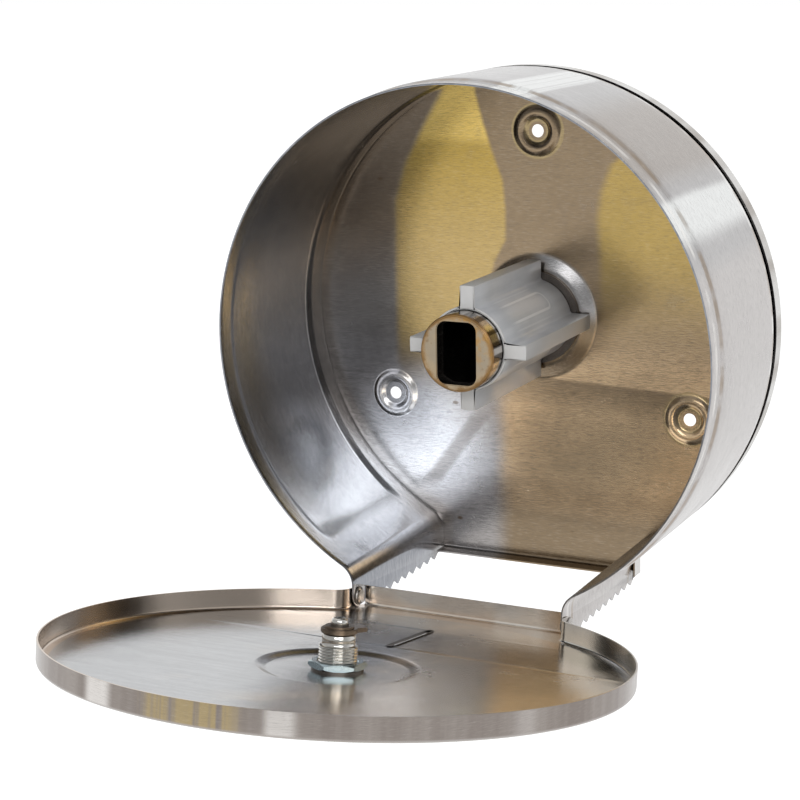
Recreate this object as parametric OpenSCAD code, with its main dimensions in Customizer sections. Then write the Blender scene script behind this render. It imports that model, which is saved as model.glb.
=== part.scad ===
// Jumbo toilet roll dispenser: a stainless drum on a wall pan, with a hinged, key-locked cover.
// Millimetres. +Z is up, the front faces -Y, and the wall is the plane y = 0.
// The origin is on the drum's axis, at the wall.

/* [Drum] */
// Diameter over the front band that the cover's lip closes on
drum_d = 250; // [220:1:300]
// Depth of the case from the wall to its front rim
case_depth = 105; // [92:1:130]
// Thickness of the stainless sheet
sheet = 0.8; // [0.6:0.1:1.2]
// How far the middle of the drum wall is pressed outward
bulge_h = 1.4; // [1.2:0.1:2]
// Length over which the wall steps out to its pressed middle
joggle_w = 5.5; // [3:0.5:8]
// Angle from the neck's bend round to the end of the pressed middle
bulge_margin = 7; // [5:1:20]

/* [Mouth] */
// Width over the two flat wings that flank the paper mouth
mouth_w = 110; // [90:1:120]
// Radius of the bend from the drum into each wing
mouth_bend_r = 11; // [8:0.5:18]
// Length of a wing's flat part, from the bend to the tips of the cutting teeth
wing_len = 13.5; // [13:0.1:18]
// Distance from one cutting tooth to the next
tooth_pitch = 8.75; // [6:0.25:10]
// Depth of a gap between two teeth
tooth_depth = 2.6; // [1.8:0.1:3.4]
// Radius at the root of a gap between two teeth
tooth_root_r = 1.3; // [0.8:0.1:1.6]
// Distance from the wall to the rearmost tooth's tip
teeth_start = 12; // [11:0.5:14]

/* [Wall pan] */
// Depth of the lip that wraps the rear of the drum
pan_lip = 10; // [8:0.5:12]
// Gap between the drum's bands and the lips around them
lip_gap = 0.6; // [0.5:0.05:0.8]
// Length of the pan's straight sides below the bend
pan_neck = 9.6; // [8:0.1:12]
// Radius of the circle of the three wall screws
screw_circle_r = 93.5; // [80:0.5:96]
// Diameter of a wall screw's hole
screw_hole_d = 6.5; // [4:0.1:8]
// Outer diameter of the ring pressed up around a wall screw
seat_d = 25; // [22:0.5:30]
// Diameter of the flat that a wall screw's head sits on
seat_flat_d = 13; // [11:0.5:15]
// How far the screw seats' rings stand up from the pan
seat_h = 1.6; // [1:0.1:2.5]
// Diameter of the round step pressed up behind the spindle
boss_d = 62; // [56:1:70]
// Height of the round step behind the spindle
boss_h = 2.5; // [1.5:0.1:4]
// Width of the slopes round the screw seats
seat_slope = 2; // [1.5:0.1:3]
// Width of the slope round the step behind the spindle
boss_slope = 3.2; // [2:0.1:5]

/* [Spindle] */
// Outer diameter of the spindle's end cap
spindle_d = 37; // [36:0.5:42]
// Wall thickness of the spindle tube
tube_wall = 1.2; // [0.8:0.1:1.6]
// Distance from the front rim back to the spindle's end face
spindle_setback = 4.5; // [4.5:0.5:8]
// Diameter of the flange that fixes the spindle to the pan
flange_d = 47; // [44:0.5:52]
// Thickness of the spindle's flange
flange_t = 1.5; // [1:0.1:3]
// Length of the end cap's skirt
cap_skirt = 20; // [16:0.5:26]
// Thickness of the end cap's face
cap_face_t = 1.5; // [1:0.1:2]
// Metal left on each side of the upright slot in the spindle's end
slot_side_rim = 8.5; // [7.5:0.5:9]
// Metal left above and below that slot
slot_end_rim = 3.5; // [3:0.5:5]
// Corner radius of that slot
slot_corner_r = 4.5; // [2:0.5:6]
// Thickness of the catch plate inside the spindle
catch_t = 2; // [1.5:0.1:3]
// Least metal left round the slot in the catch plate
catch_rim = 1; // [0.8:0.1:2]

/* [Core sleeve] */
// Radial gap between the end cap and the loose core sleeve
sleeve_gap = 0.4; // [0.3:0.05:0.6]
// Wall thickness of the core sleeve
sleeve_wall = 1.1; // [0.8:0.1:2]
// Distance from the spindle's end face back to the sleeve
sleeve_setback = 12.5; // [10:0.5:15]
// End play between the sleeve and the spindle's flange
sleeve_play = 0.3; // [0.2:0.1:0.8]
// Diameter across the sleeve's four fins
fin_span = 60; // [54:1:66]
// Thickness of a fin
fin_t = 7.4; // [4:0.2:9]

/* [Cover] */
// Depth of the cover's lip, measured inside
cover_lip = 9.6; // [9:0.1:11]
// Gap between the drum's front rim and the closed cover
cover_gap = 0.4; // [0.3:0.1:0.8]
// Distance from the closed cover's inside face back to the hinge axis
hinge_back = 5.5; // [5.2:0.1:7]
// Distance from the bend down to the hinge axis
hinge_below = 6.3; // [5:0.1:7]
// Distance from the hinge axis down to the cover's straight flange
flange_drop = 7; // [6.5:0.1:8]
// Opening angle of the cover as it rests
cover_open = 81; // [60:1:89]
// Diameter of a hinge rivet's shank
rivet_d = 4; // [3:0.5:5]
// Diameter of a hinge rivet's head
rivet_head_d = 7.5; // [6:0.5:8.5]
// Thickness of a hinge rivet's head
rivet_head_t = 1.2; // [0.8:0.1:2]
// Radial running clearance of a rivet in the cover's lip
rivet_clear = 0.06; // [0.02:0.01:0.1]
// Diameter of the washer under a hinge rivet's inner head
hinge_washer_d = 9; // [8.6:0.1:9.2]
// Thickness of the washer under a hinge rivet's inner head
hinge_washer_t = 0.6; // [0.4:0.1:1]
// Outer diameter of the round step pressed outward round the lock
cover_boss_d = 72; // [64:1:80]
// Width of that step's slope
cover_boss_slope = 5; // [3:0.5:8]
// Height of that step
cover_boss_h = 1.6; // [1:0.1:2]
// Length of the paper level slot
level_slot_len = 45; // [30:1:50]
// Width of the paper level slot
level_slot_w = 2.6; // [2:0.1:4]
// Distance from the drum's axis down to the middle of the level slot
level_slot_drop = 72; // [68:1:76]

/* [Lock] */
// Thread diameter of the lock's barrel
barrel_d = 16.8; // [15.6:0.1:17.4]
// Diameter of the barrel's plain end
barrel_neck_d = 14.4; // [13:0.1:15]
// Height of the threaded part over the cover's inside face
thread_h = 11; // [10:0.5:12]
// Height of the plain end over the threaded part
barrel_neck_h = 4.8; // [3:0.1:6]
// Thread pitch
thread_pitch = 1.25; // [1:0.05:1.5]
// Depth of the thread's grooves
thread_cut = 0.55; // [0.4:0.05:0.7]
// Width across the flats of the lock's nut
nut_af = 22; // [20:0.5:24]
// Thickness of the lock's nut
nut_t = 3; // [2.5:0.1:3.5]
// Diameter of the washer under the nut
nut_washer_d = 22.5; // [20:0.5:26]
// Thickness of the washer under the nut
nut_washer_t = 1; // [0.6:0.1:1.4]
// Diameter of the lock's head on the outside of the cover
lock_head_d = 20; // [18.5:0.5:24]
// Height of the lock's head
lock_head_h = 2.4; // [1.5:0.1:4]
// Diameter of the turning plug
plug_d = 10.5; // [10:0.1:11]
// Radial clearance of the plug in the barrel
plug_clear = 0.05; // [0.02:0.01:0.1]
// Diameter of the cam's round end
cam_d = 15.8; // [14:0.1:17]
// Reach of the cam's tongue from the plug's axis
cam_reach = 12.5; // [11.8:0.1:13.5]
// Angle at rest from the hinge side round to the cam's tongue
cam_rest = 30; // [0:5:30]
// Width of the cam's tongue
cam_w = 8; // [6:0.5:10]
// Thickness of the cam
cam_t = 2; // [1.5:0.1:2.5]
// Side of the square on the plug that drives the cam
drive_w = 6.5; // [5.5:0.1:6.8]
// Diameter of the washer on the cam
cam_washer_d = 12.6; // [10:0.1:14]
// Thickness of the washer on the cam
cam_washer_t = 1; // [0.6:0.1:1.5]
// Diameter of the split washer under the screw's head
split_washer_d = 8; // [7:0.1:9]
// Thickness of the split washer
split_washer_t = 0.9; // [0.6:0.1:1.2]
// Diameter of the cam screw's head
screw_head_d = 7; // [6:0.1:8]
// Height of the cam screw's head
screw_head_h = 2.4; // [2:0.1:3]
// Diameter of the cam screw's thread
cam_screw_d = 4; // [3:0.1:4]
// Width of the keyhole
keyhole_w = 2.2; // [1.6:0.1:2.6]
// Height of the keyhole
keyhole_h = 7; // [5:0.1:7.4]
// Number of wafers in the plug
wafer_count = 5; // [3:1:5]
// Thickness of a wafer
wafer_t = 0.9; // [0.6:0.1:1.1]

/* [Hidden] */
$fn = 96;
over = 1;
near = 0.02;

// The drum and its neck, seen from the front
drum_r = drum_d / 2;
mouth_half = mouth_w / 2;
wing_in = mouth_half - sheet;
bend_x = mouth_half + mouth_bend_r;
bend_z = -sqrt(pow(drum_r + mouth_bend_r, 2) - pow(bend_x, 2));
neck_angle = atan2(bend_x, -bend_z);
bulge_end = neck_angle + bulge_margin;
tooth_tip_z = bend_z - wing_len;
tooth_root_z = tooth_tip_z + tooth_depth;
pan_bottom_z = bend_z - pan_neck;
hinge_z = bend_z - hinge_below;
lip_out = lip_gap + sheet;
press_wrap = 0.2;
dish_slope = 1;

// The closed cover, as distances forward of the wall
cover_in = case_depth + cover_gap;
hinge_h = cover_in - hinge_back;
wing_round_r = hinge_back - cover_gap;
lip_edge = cover_in - cover_lip;
cover_bottom_z = hinge_z - flange_drop - sheet;
lip_margin = 0.3;
flange_side_gap = 1;
joggle_back = pan_lip + lip_margin;
joggle_front = lip_edge - lip_margin;

// The cutting teeth
teeth_room = 13;
tooth_count = floor((hinge_h - teeth_room - teeth_start) / tooth_pitch) + 1;
teeth_back = teeth_start - tooth_pitch / 2;
teeth_front = teeth_start + (tooth_count - 0.5) * tooth_pitch;

// The spindle and its sleeve
cap_wall = 0.8;
cap_bevel = 0.8;
spindle_end = case_depth - spindle_setback;
tube_r = spindle_d / 2 - cap_wall - near;
flange_back = boss_h + sheet;
tube_back = flange_back + flange_t;
slot_w = spindle_d - 2 * slot_side_rim;
slot_h = spindle_d - 2 * slot_end_rim;
sleeve_bore_r = spindle_d / 2 + sleeve_gap;
sleeve_front = spindle_end - sleeve_setback;
sleeve_back = tube_back + sleeve_play;
fin_count = 4;

// The lock, as heights over the cover's inside face
lock_face = cover_in + cover_boss_h;
barrel_hole_gap = 0.1;
lock_front = -sheet - lock_head_h;
nut_top = nut_washer_t + nut_t;
barrel_top = thread_h + barrel_neck_h;
cam_gap = 0.3;
cam_base = barrel_top + cam_gap;
cam_top = cam_base + cam_t;
cam_washer_top = cam_top + cam_washer_t;
split_washer_top = cam_washer_top + split_washer_t;
screw_depth = 8;
screw_hole_end = cam_top - screw_depth - 0.3;
catch_gap = 0.5;
catch_back = lock_face - cam_base + catch_gap;
wafer_first = -1;
wafer_pitch = 2;
wafer_half = 3;
wafer_r = plug_d / 2 - 0.15;
wafer_side = 0.05;
spring_x = wafer_half + 0.65;
spring_wire = 0.22;
spring_low = -2.2;
spring_high = 0.9;

// Draws an outline in x and z, between two distances forward of the wall
module forward(back, front) {
    translate([0, -back, 0])
        rotate([90, 0, 0])
            linear_extrude(height = front - back) children();
}

// Turns a profile of radius and forward distance about the drum's axis
module turned(start = 0, sweep = 360) {
    rotate([90, 0, 0])
        rotate([0, 0, start])
            rotate_extrude(angle = sweep) children();
}

// Draws an outline of forward distance and z, between two places across
module across(left, right) {
    translate([right, 0, 0])
        rotate([90, 0, -90])
            linear_extrude(height = right - left) children();
}

// A disc that bends into a straight neck, grown by a margin over the drum wall
module bottle(grow, bottom) {
    r = drum_r + grow;
    w = mouth_half + grow;
    bend_r = mouth_bend_r - grow;
    meet_x = r * sin(neck_angle);
    meet_z = -r * cos(neck_angle);
    circle(r);
    difference() {
        polygon([
            [meet_x, meet_z], [meet_x, bend_z], [w, bend_z], [w, bottom],
            [-w, bottom], [-w, bend_z], [-meet_x, bend_z], [-meet_x, meet_z]
        ]);
        for (side = [-1, 1])
            translate([side * bend_x, bend_z]) circle(bend_r);
    }
}

// The case's outline as a strip of sheet, open at the bottom
module strip(grow, bottom) {
    difference() {
        bottle(grow + sheet, bottom);
        bottle(grow, bottom - over);
    }
}

// One gap between two cutting teeth, with a round root
module tooth_gap() {
    rise = tooth_depth - tooth_root_r;
    half = tooth_pitch / 2;
    reach = sqrt(half * half + rise * rise);
    lean = atan2(rise, half) + asin(tooth_root_r / reach);
    side = sqrt(reach * reach - tooth_root_r * tooth_root_r);
    touch_x = half - side * cos(lean);
    touch_z = side * sin(lean);
    translate([0, rise]) circle(tooth_root_r);
    polygon([
        [-half, -over], [-half, 0], [-touch_x, touch_z], [0, rise],
        [touch_x, touch_z], [half, 0], [half, -over]
    ]);
}

// What is cut from the wings: the tooth gaps and the room round the hinge
module wing_cut() {
    deep = tooth_tip_z - over;
    front_z = hinge_z - wing_round_r;
    for (i = [0:tooth_count])
        translate([teeth_back + i * tooth_pitch, tooth_tip_z]) tooth_gap();
    translate([-over, deep])
        square([teeth_back + over, tooth_root_z - deep]);
    translate([teeth_front, deep])
        square([case_depth + over - teeth_front, front_z - deep]);
    difference() {
        translate([hinge_h, front_z - over])
            square([wing_round_r + over, wing_round_r + over]);
        translate([hinge_h, hinge_z]) circle(wing_round_r);
    }
}

// One face of the drum wall's pressed middle: a block whose slopes rise out of radius r
module pressed_middle(r, end_angle) {
    dip = sheet / 2;
    lead = dip * joggle_w / bulge_h;
    turned(end_angle - 90, 360 - 2 * end_angle) polygon([
        [r - dip, joggle_back - lead], [r + bulge_h, joggle_back + joggle_w],
        [r + bulge_h, joggle_front - joggle_w], [r - dip, joggle_front + lead]
    ]);
}

// Turns closed-cover places to where the resting cover holds them
module resting_cover() {
    translate([0, -hinge_h, hinge_z])
        rotate([cover_open, 0, 0])
            translate([0, hinge_h, -hinge_z]) children();
}

// Places a lock piece: its z is the height over the cover's inside face
module on_lock() {
    resting_cover()
        translate([0, -lock_face, 0])
            rotate([-90, 0, 0]) children();
}

// A flat ring on the lock's axis
module lock_ring(base, top, outer, bore) {
    on_lock() translate([0, 0, base]) linear_extrude(height = top - base)
        difference() {
            circle(outer / 2);
            circle(bore / 2);
        }
}

module screw_places() {
    for (i = [0:2])
        translate([screw_circle_r * cos(90 + i * 120), 0, screw_circle_r * sin(90 + i * 120)])
            children();
}

// A round step pressed forward from the wall side: its metal, then the hollow behind it
module pressed_step(r, slope, rise) {
    turned() polygon([
        [0, 0], [r, 0], [r, sheet], [r - slope + press_wrap, rise + sheet], [0, rise + sheet]
    ]);
}

module pressed_hollow(r, slope, rise) {
    turned() polygon([[0, -over], [r, -over], [r, 0], [r - slope, rise], [0, rise]]);
}

// What is cut from a screw seat's step: the hollow ring behind it, its dish and its hole
module screw_seat_cut() {
    r = seat_d / 2;
    flat_r = seat_flat_d / 2;
    dish_r = flat_r + dish_slope - press_wrap;
    turned() polygon([
        [flat_r, -over], [r, -over], [r, 0], [r - seat_slope, seat_h],
        [flat_r + dish_slope, seat_h], [flat_r, 0]
    ]);
    turned() polygon([
        [0, sheet], [flat_r - 2 * press_wrap, sheet], [dish_r, seat_h + sheet],
        [dish_r, seat_h + sheet + over], [0, seat_h + sheet + over]
    ]);
    turned() translate([0, -over]) square([screw_hole_d / 2, sheet + 2 * over]);
}

module back_plate() {
    flange_half = wing_in - lip_gap;
    color("tan") difference() {
        union() {
            difference() {
                forward(0, pan_lip) bottle(lip_out, pan_bottom_z);
                forward(sheet, pan_lip + over) bottle(lip_gap, pan_bottom_z - over);
            }
            forward(sheet / 2, pan_lip)
                translate([-flange_half, pan_bottom_z]) square([2 * flange_half, sheet]);
            pressed_step(boss_d / 2, boss_slope, boss_h);
            screw_places() pressed_step(seat_d / 2, seat_slope, seat_h);
        }
        pressed_hollow(boss_d / 2, boss_slope, boss_h);
        screw_places() screw_seat_cut();
    }
}

module drum_wall() {
    web_angle = 0.4;
    color("lightgray") difference() {
        union() {
            forward(sheet, case_depth) strip(-sheet, tooth_tip_z);
            pressed_middle(drum_r, bulge_end);
        }
        pressed_middle(drum_r - sheet, bulge_end + web_angle);
        across(-mouth_half - over, mouth_half + over) {
            wing_cut();
            translate([hinge_h, hinge_z]) circle(rivet_d / 2 + near);
        }
    }
}

module spindle_flange() {
    color("silver") turned() translate([0, flange_back]) square([flange_d / 2, flange_t]);
}

module spindle_tube() {
    color("gray") turned() translate([tube_r - tube_wall, tube_back])
        square([tube_wall, spindle_end - cap_face_t - tube_back]);
}

// The upright slot that the lock's cam passes through
module slot_outline() {
    square([slot_w - 2 * slot_corner_r, slot_h], center = true);
    square([slot_w, slot_h - 2 * slot_corner_r], center = true);
    for (sx = [-1, 1], sz = [-1, 1])
        translate([sx * (slot_w / 2 - slot_corner_r), sz * (slot_h / 2 - slot_corner_r)])
            circle(slot_corner_r);
}

module spindle_end_cap() {
    r = spindle_d / 2;
    color("goldenrod") difference() {
        turned() polygon([
            [0, spindle_end - cap_face_t], [r - cap_wall, spindle_end - cap_face_t],
            [r - cap_wall, spindle_end - cap_skirt], [r, spindle_end - cap_skirt],
            [r, spindle_end - cap_bevel], [r - cap_bevel, spindle_end], [0, spindle_end]
        ]);
        forward(spindle_end - cap_face_t - over, spindle_end + over) slot_outline();
    }
}

module lock_catch_plate() {
    r = tube_r - tube_wall - near;
    color("dimgray") difference() {
        turned() translate([0, catch_back]) square([r, catch_t]);
        forward(catch_back - over, catch_back + catch_t + over) intersection() {
            slot_outline();
            circle(r - catch_rim);
        }
    }
}

module core_sleeve() {
    color("whitesmoke") forward(sleeve_back, sleeve_front) difference() {
        union() {
            circle(sleeve_bore_r + sleeve_wall);
            intersection() {
                circle(fin_span / 2);
                for (i = [0:fin_count - 1])
                    rotate(90 + i * 360 / fin_count)
                        translate([0, -fin_t / 2]) square([fin_span, fin_t]);
            }
        }
        circle(sleeve_bore_r);
    }
}

// What is cut from the cover's lips: their ends are rounded behind the hinge axis
module lip_tail_cut() {
    r = hinge_h - lip_edge;
    low = cover_bottom_z - over;
    difference() {
        translate([lip_edge - over, low]) square([r + over, hinge_z - low]);
        translate([hinge_h, hinge_z]) circle(r);
    }
    translate([hinge_h - over, low]) square([hinge_back + over, hinge_z - r - low]);
    translate([hinge_h, hinge_z]) circle(rivet_d / 2 + rivet_clear);
}

module level_slot() {
    point = 3;
    w = level_slot_w / 2;
    len = level_slot_len / 2;
    translate([0, -level_slot_drop]) polygon([
        [0, len], [w, len - point], [w, point - len],
        [0, -len], [-w, point - len], [-w, len - point]
    ]);
}

module cover_panel() {
    flange_half = wing_in - flange_side_gap;
    r = cover_boss_d / 2;
    top_r = r - cover_boss_slope;
    color("silver") resting_cover() difference() {
        union() {
            difference() {
                forward(lip_edge, cover_in + sheet) bottle(lip_out, cover_bottom_z);
                forward(lip_edge - over, cover_in) bottle(lip_gap, cover_bottom_z - over);
                across(-drum_r, drum_r) lip_tail_cut();
            }
            turned() polygon([
                [0, cover_in], [r, cover_in], [r, cover_in + sheet],
                [top_r, lock_face + sheet], [0, lock_face + sheet]
            ]);
            forward(lip_edge, cover_in + sheet / 2)
                translate([-flange_half, cover_bottom_z]) square([2 * flange_half, sheet]);
        }
        turned() polygon([
            [0, cover_in - over], [r, cover_in - over], [r, cover_in],
            [top_r, lock_face], [0, lock_face]
        ]);
        forward(cover_in - over, cover_in + sheet + over) level_slot();
        turned() translate([0, cover_in - over])
            square([barrel_d / 2 + barrel_hole_gap, cover_boss_h + sheet + 2 * over]);
    }
}

// Draws something on the hinge axis at each end, its x counted out from the wing's inside
module on_hinge() {
    for (side = [0, 1]) mirror([side, 0, 0])
        translate([wing_in, -hinge_h, hinge_z]) rotate([0, 90, 0]) children();
}

module hinge_rivets() {
    head_gap = 0.1;
    inner = -hinge_washer_t - rivet_head_t;
    outer = lip_out + sheet + head_gap;
    color("darkgray") on_hinge() rotate_extrude() polygon([
        [0, inner], [rivet_head_d / 2 - 0.5, inner], [rivet_head_d / 2, inner + 0.5],
        [rivet_head_d / 2, -hinge_washer_t], [rivet_d / 2, -hinge_washer_t],
        [rivet_d / 2, outer], [rivet_head_d / 2, outer],
        [rivet_head_d / 2, outer + rivet_head_t - 0.5],
        [rivet_head_d / 2 - 0.5, outer + rivet_head_t], [0, outer + rivet_head_t]
    ]);
}

module hinge_washers() {
    color("slategray") on_hinge() translate([0, 0, -hinge_washer_t])
        linear_extrude(height = hinge_washer_t) difference() {
            circle(hinge_washer_d / 2);
            circle(rivet_d / 2 + near);
        }
}

module lock_barrel() {
    r = barrel_d / 2;
    root = r - thread_cut;
    bevel = 0.8;
    turns = floor((thread_h - 1) / thread_pitch);
    color("gainsboro") on_lock() rotate_extrude() polygon([
        [plug_d / 2 + plug_clear, lock_front], [lock_head_d / 2 - bevel, lock_front],
        [lock_head_d / 2, lock_front + bevel], [lock_head_d / 2, -sheet], [r, -sheet],
        for (i = [0:turns - 1], k = [0:1])
            k == 0 ? [r, i * thread_pitch + 0.2] : [root, (i + 0.5) * thread_pitch + 0.2],
        [r, turns * thread_pitch + 0.2], [r, thread_h - 0.5], [r - 0.5, thread_h],
        [barrel_neck_d / 2, thread_h], [barrel_neck_d / 2, barrel_top - 0.5],
        [barrel_neck_d / 2 - 0.5, barrel_top], [plug_d / 2 + plug_clear, barrel_top]
    ]);
}

module lock_nut() {
    corner = nut_af / sqrt(3);
    bevel = 0.6;
    color("lightsteelblue") on_lock() difference() {
        intersection() {
            translate([0, 0, nut_washer_t]) linear_extrude(height = nut_t)
                circle(corner, $fn = 6);
            rotate_extrude() polygon([
                [0, nut_washer_t], [corner, nut_washer_t], [corner, nut_top - bevel],
                [nut_af / 2 - 0.4, nut_top], [0, nut_top]
            ]);
        }
        translate([0, 0, nut_washer_t - over]) cylinder(h = nut_t + 2 * over,
            r = barrel_d / 2 + near);
    }
}

module lock_washer() {
    color("dimgray") lock_ring(0, nut_washer_t, nut_washer_d, barrel_d + 2 * near);
}

// The pocket for one wafer and its spring
module wafer_room() {
    square([2 * (wafer_half + wafer_side), plug_d + 2 * over], center = true);
    translate([0, spring_low - 0.2])
        square([spring_x + 0.5, spring_high + 1.2 - spring_low]);
}

module lock_plug() {
    color("burlywood") on_lock() difference() {
        union() {
            translate([0, 0, lock_front])
                cylinder(h = cam_base - lock_front - near, r = plug_d / 2);
            translate([0, 0, cam_base - over]) linear_extrude(height = cam_t + over)
                square(drive_w, center = true);
        }
        translate([0, 0, screw_hole_end])
            cylinder(h = screw_depth + over, r = cam_screw_d / 2 + near);
        translate([0, 0, lock_front - over])
            linear_extrude(height = wafer_first + wafer_count * wafer_pitch - lock_front + over)
                square([keyhole_w, keyhole_h], center = true);
        for (i = [0:wafer_count - 1])
            translate([0, 0, wafer_first + i * wafer_pitch - wafer_side])
                linear_extrude(height = wafer_t + 2 * wafer_side) wafer_room();
    }
}

module lock_wafers() {
    color("gold") on_lock() for (i = [0:wafer_count - 1])
        translate([0, 0, wafer_first + i * wafer_pitch])
            linear_extrude(height = wafer_t) difference() {
                intersection() {
                    union() {
                        square([2 * wafer_half, plug_d], center = true);
                        translate([0, spring_high + near])
                            square([spring_x + 0.4, 0.7]);
                    }
                    circle(wafer_r);
                }
                square([keyhole_w + 0.6, keyhole_h + 0.4], center = true);
            }
}

// A zigzag of flat wire under each wafer's lug
module wafer_springs() {
    bends = 6;
    step = (spring_high - spring_low) / bends;
    color("silver") on_lock() for (i = [0:wafer_count - 1])
        translate([spring_x, 0, wafer_first + i * wafer_pitch + wafer_t / 4])
            linear_extrude(height = wafer_t / 2) polygon([
                for (k = [0:bends])
                    [(k % 2 == 0 ? -0.35 : 0.35) - spring_wire / 2, spring_low + k * step],
                for (k = [bends:-1:0])
                    [(k % 2 == 0 ? -0.35 : 0.35) + spring_wire / 2, spring_low + k * step]
            ]);
}

module lock_cam() {
    color("peru") on_lock() translate([0, 0, cam_base])
        linear_extrude(height = cam_t) difference() {
            rotate(-cam_rest) union() {
                circle(cam_d / 2);
                intersection() {
                    translate([-cam_w / 2, 0]) square([cam_w, cam_reach]);
                    circle(cam_reach);
                }
            }
            square(drive_w + 0.1, center = true);
        }
}

module cam_washer() {
    color("sienna") lock_ring(cam_top, cam_washer_top, cam_washer_d, cam_screw_d + 2 * near);
}

module cam_split_washer() {
    color("darkgray") on_lock() translate([0, 0, cam_washer_top])
        linear_extrude(height = split_washer_t) difference() {
            circle(split_washer_d / 2);
            circle(cam_screw_d / 2 + near);
            rotate(40) translate([0, -0.25]) square([split_washer_d, 0.5]);
        }
}

module cam_screw() {
    r = screw_head_d / 2;
    top = split_washer_top + screw_head_h;
    cross_w = 1;
    cross_depth = 1.4;
    color("white") on_lock() difference() {
        rotate_extrude() polygon([
            [0, cam_top - screw_depth], [cam_screw_d / 2 - 0.4, cam_top - screw_depth],
            [cam_screw_d / 2, cam_top - screw_depth + 0.4], [cam_screw_d / 2, split_washer_top],
            [r, split_washer_top], [r, top - 1], [r - 0.3, top - 0.5], [r - 1.2, top], [0, top]
        ]);
        for (turn = [0, 90]) translate([0, 0, top - cross_depth])
            linear_extrude(height = cross_depth + over) rotate(turn)
                square([0.6 * screw_head_d, cross_w], center = true);
    }
}

back_plate();
drum_wall();
spindle_flange();
spindle_tube();
spindle_end_cap();
lock_catch_plate();
core_sleeve();
cover_panel();
hinge_rivets();
hinge_washers();
lock_barrel();
lock_nut();
lock_washer();
lock_plug();
lock_cam();
cam_washer();
cam_split_washer();
cam_screw();
lock_wafers();
wafer_springs();
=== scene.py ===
import math
import bmesh
import bpy
from mathutils import Matrix, Vector
from mathutils.geometry import tessellate_polygon


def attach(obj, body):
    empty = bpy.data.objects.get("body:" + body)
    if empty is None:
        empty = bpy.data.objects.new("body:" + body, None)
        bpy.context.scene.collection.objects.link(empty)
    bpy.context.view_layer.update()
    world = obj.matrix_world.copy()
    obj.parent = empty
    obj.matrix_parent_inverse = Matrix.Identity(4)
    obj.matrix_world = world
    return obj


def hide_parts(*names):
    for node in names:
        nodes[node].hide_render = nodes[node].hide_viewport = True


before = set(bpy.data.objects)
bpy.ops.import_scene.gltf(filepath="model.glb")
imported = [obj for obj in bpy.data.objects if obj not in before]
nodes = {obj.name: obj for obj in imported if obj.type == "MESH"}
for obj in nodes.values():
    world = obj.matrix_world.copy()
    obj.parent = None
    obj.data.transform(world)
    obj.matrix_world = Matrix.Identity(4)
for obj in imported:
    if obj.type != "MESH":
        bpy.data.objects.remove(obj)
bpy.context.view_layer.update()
mm = 0.001

# sizes that several pieces share, in millimetres; h is the distance forward of the wall
drum = {"radius": 125.0, "depth": 105.0, "sheet": 0.8, "mouthHalf": 55.0, "bendRadius": 11.0, "wing": 13.5,
        "arcStep": 1.5, "edgeBreak": 0.14}
neckReach = drum["radius"] + drum["bendRadius"]
bendX = drum["mouthHalf"] + drum["bendRadius"]
bendZ = -math.sqrt(neckReach**2 - bendX**2)
neckAngle = math.atan2(bendX, -bendZ)
hinge = {"h": 99.9, "z": bendZ - 6.3, "open": math.radians(81), "lipDepth": 9.6, "gap": 0.4, "lipGap": 0.6,
         "tail": 4.1, "wingRound": 5.1, "bossRise": 1.6}
coverIn = drum["depth"] + hinge["gap"]
lockFace = coverIn + hinge["bossRise"]
lipOut = hinge["lipGap"] + drum["sheet"]


def place(x, h, z):  # front-view place and distance from the wall, to row-frame metres
    return Vector((x * mm, -h * mm, z * mm))


def openCover(v):  # a closed-cover place in metres, to where the resting cover holds it
    pivot = Vector((0, -hinge["h"] * mm, hinge["z"] * mm))
    return Matrix.Rotation(hinge["open"], 3, "X") @ (v - pivot) + pivot


def onLock(x, y, z):  # a place on the lock, z over the cover's inside face and y towards the hinge
    return openCover(place(x, lockFace - z, -y))


def newObject(name, verts, faces, material, body):
    mesh = bpy.data.meshes.new(name)
    mesh.from_pydata([tuple(v) for v in verts], [], faces)
    obj = bpy.data.objects.new(name, mesh)
    bpy.context.scene.collection.objects.link(obj)
    mesh.materials.append(material)
    obj["rides"] = body
    return obj


def weld(obj, flip=None):  # merges doubles; flip tells which way a face should look
    bm = bmesh.new()
    bm.from_mesh(obj.data)
    bmesh.ops.remove_doubles(bm, verts=bm.verts, dist=0.02 * mm)
    bmesh.ops.recalc_face_normals(bm, faces=bm.faces)
    if flip is not None:
        bm.normal_update()
        score = sum(f.normal.dot(flip(f.calc_center_median())) * f.calc_area() for f in bm.faces)
        if score < 0:
            bmesh.ops.reverse_faces(bm, faces=bm.faces)
    bm.to_mesh(obj.data)
    bm.free()


def makeSheet(obj, inside):  # thickens a skin inward, in the inside's finish, and breaks its edges
    obj.data.materials.append(inside.material)
    solid = obj.modifiers.new("solid", "SOLIDIFY")
    solid.thickness = drum["sheet"] * mm
    solid.offset = -1.0
    solid.use_even_offset = True
    solid.material_offset = 1
    solid.material_offset_rim = 1
    bevel = obj.modifiers.new("bevel", "BEVEL")
    bevel.width = drum["edgeBreak"] * mm
    bevel.segments = 2
    bevel.limit_method = "ANGLE"
    bevel.angle_limit = math.radians(40)
    bevel.use_clamp_overlap = True
    return settle(obj)


def keepFlat(obj):  # large flats reflect as flats beside the small bevels
    mod = obj.modifiers.new("flat", "WEIGHTED_NORMAL")
    mod.mode = "FACE_AREA"
    mod.weight = 100
    mod.keep_sharp = True


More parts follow.
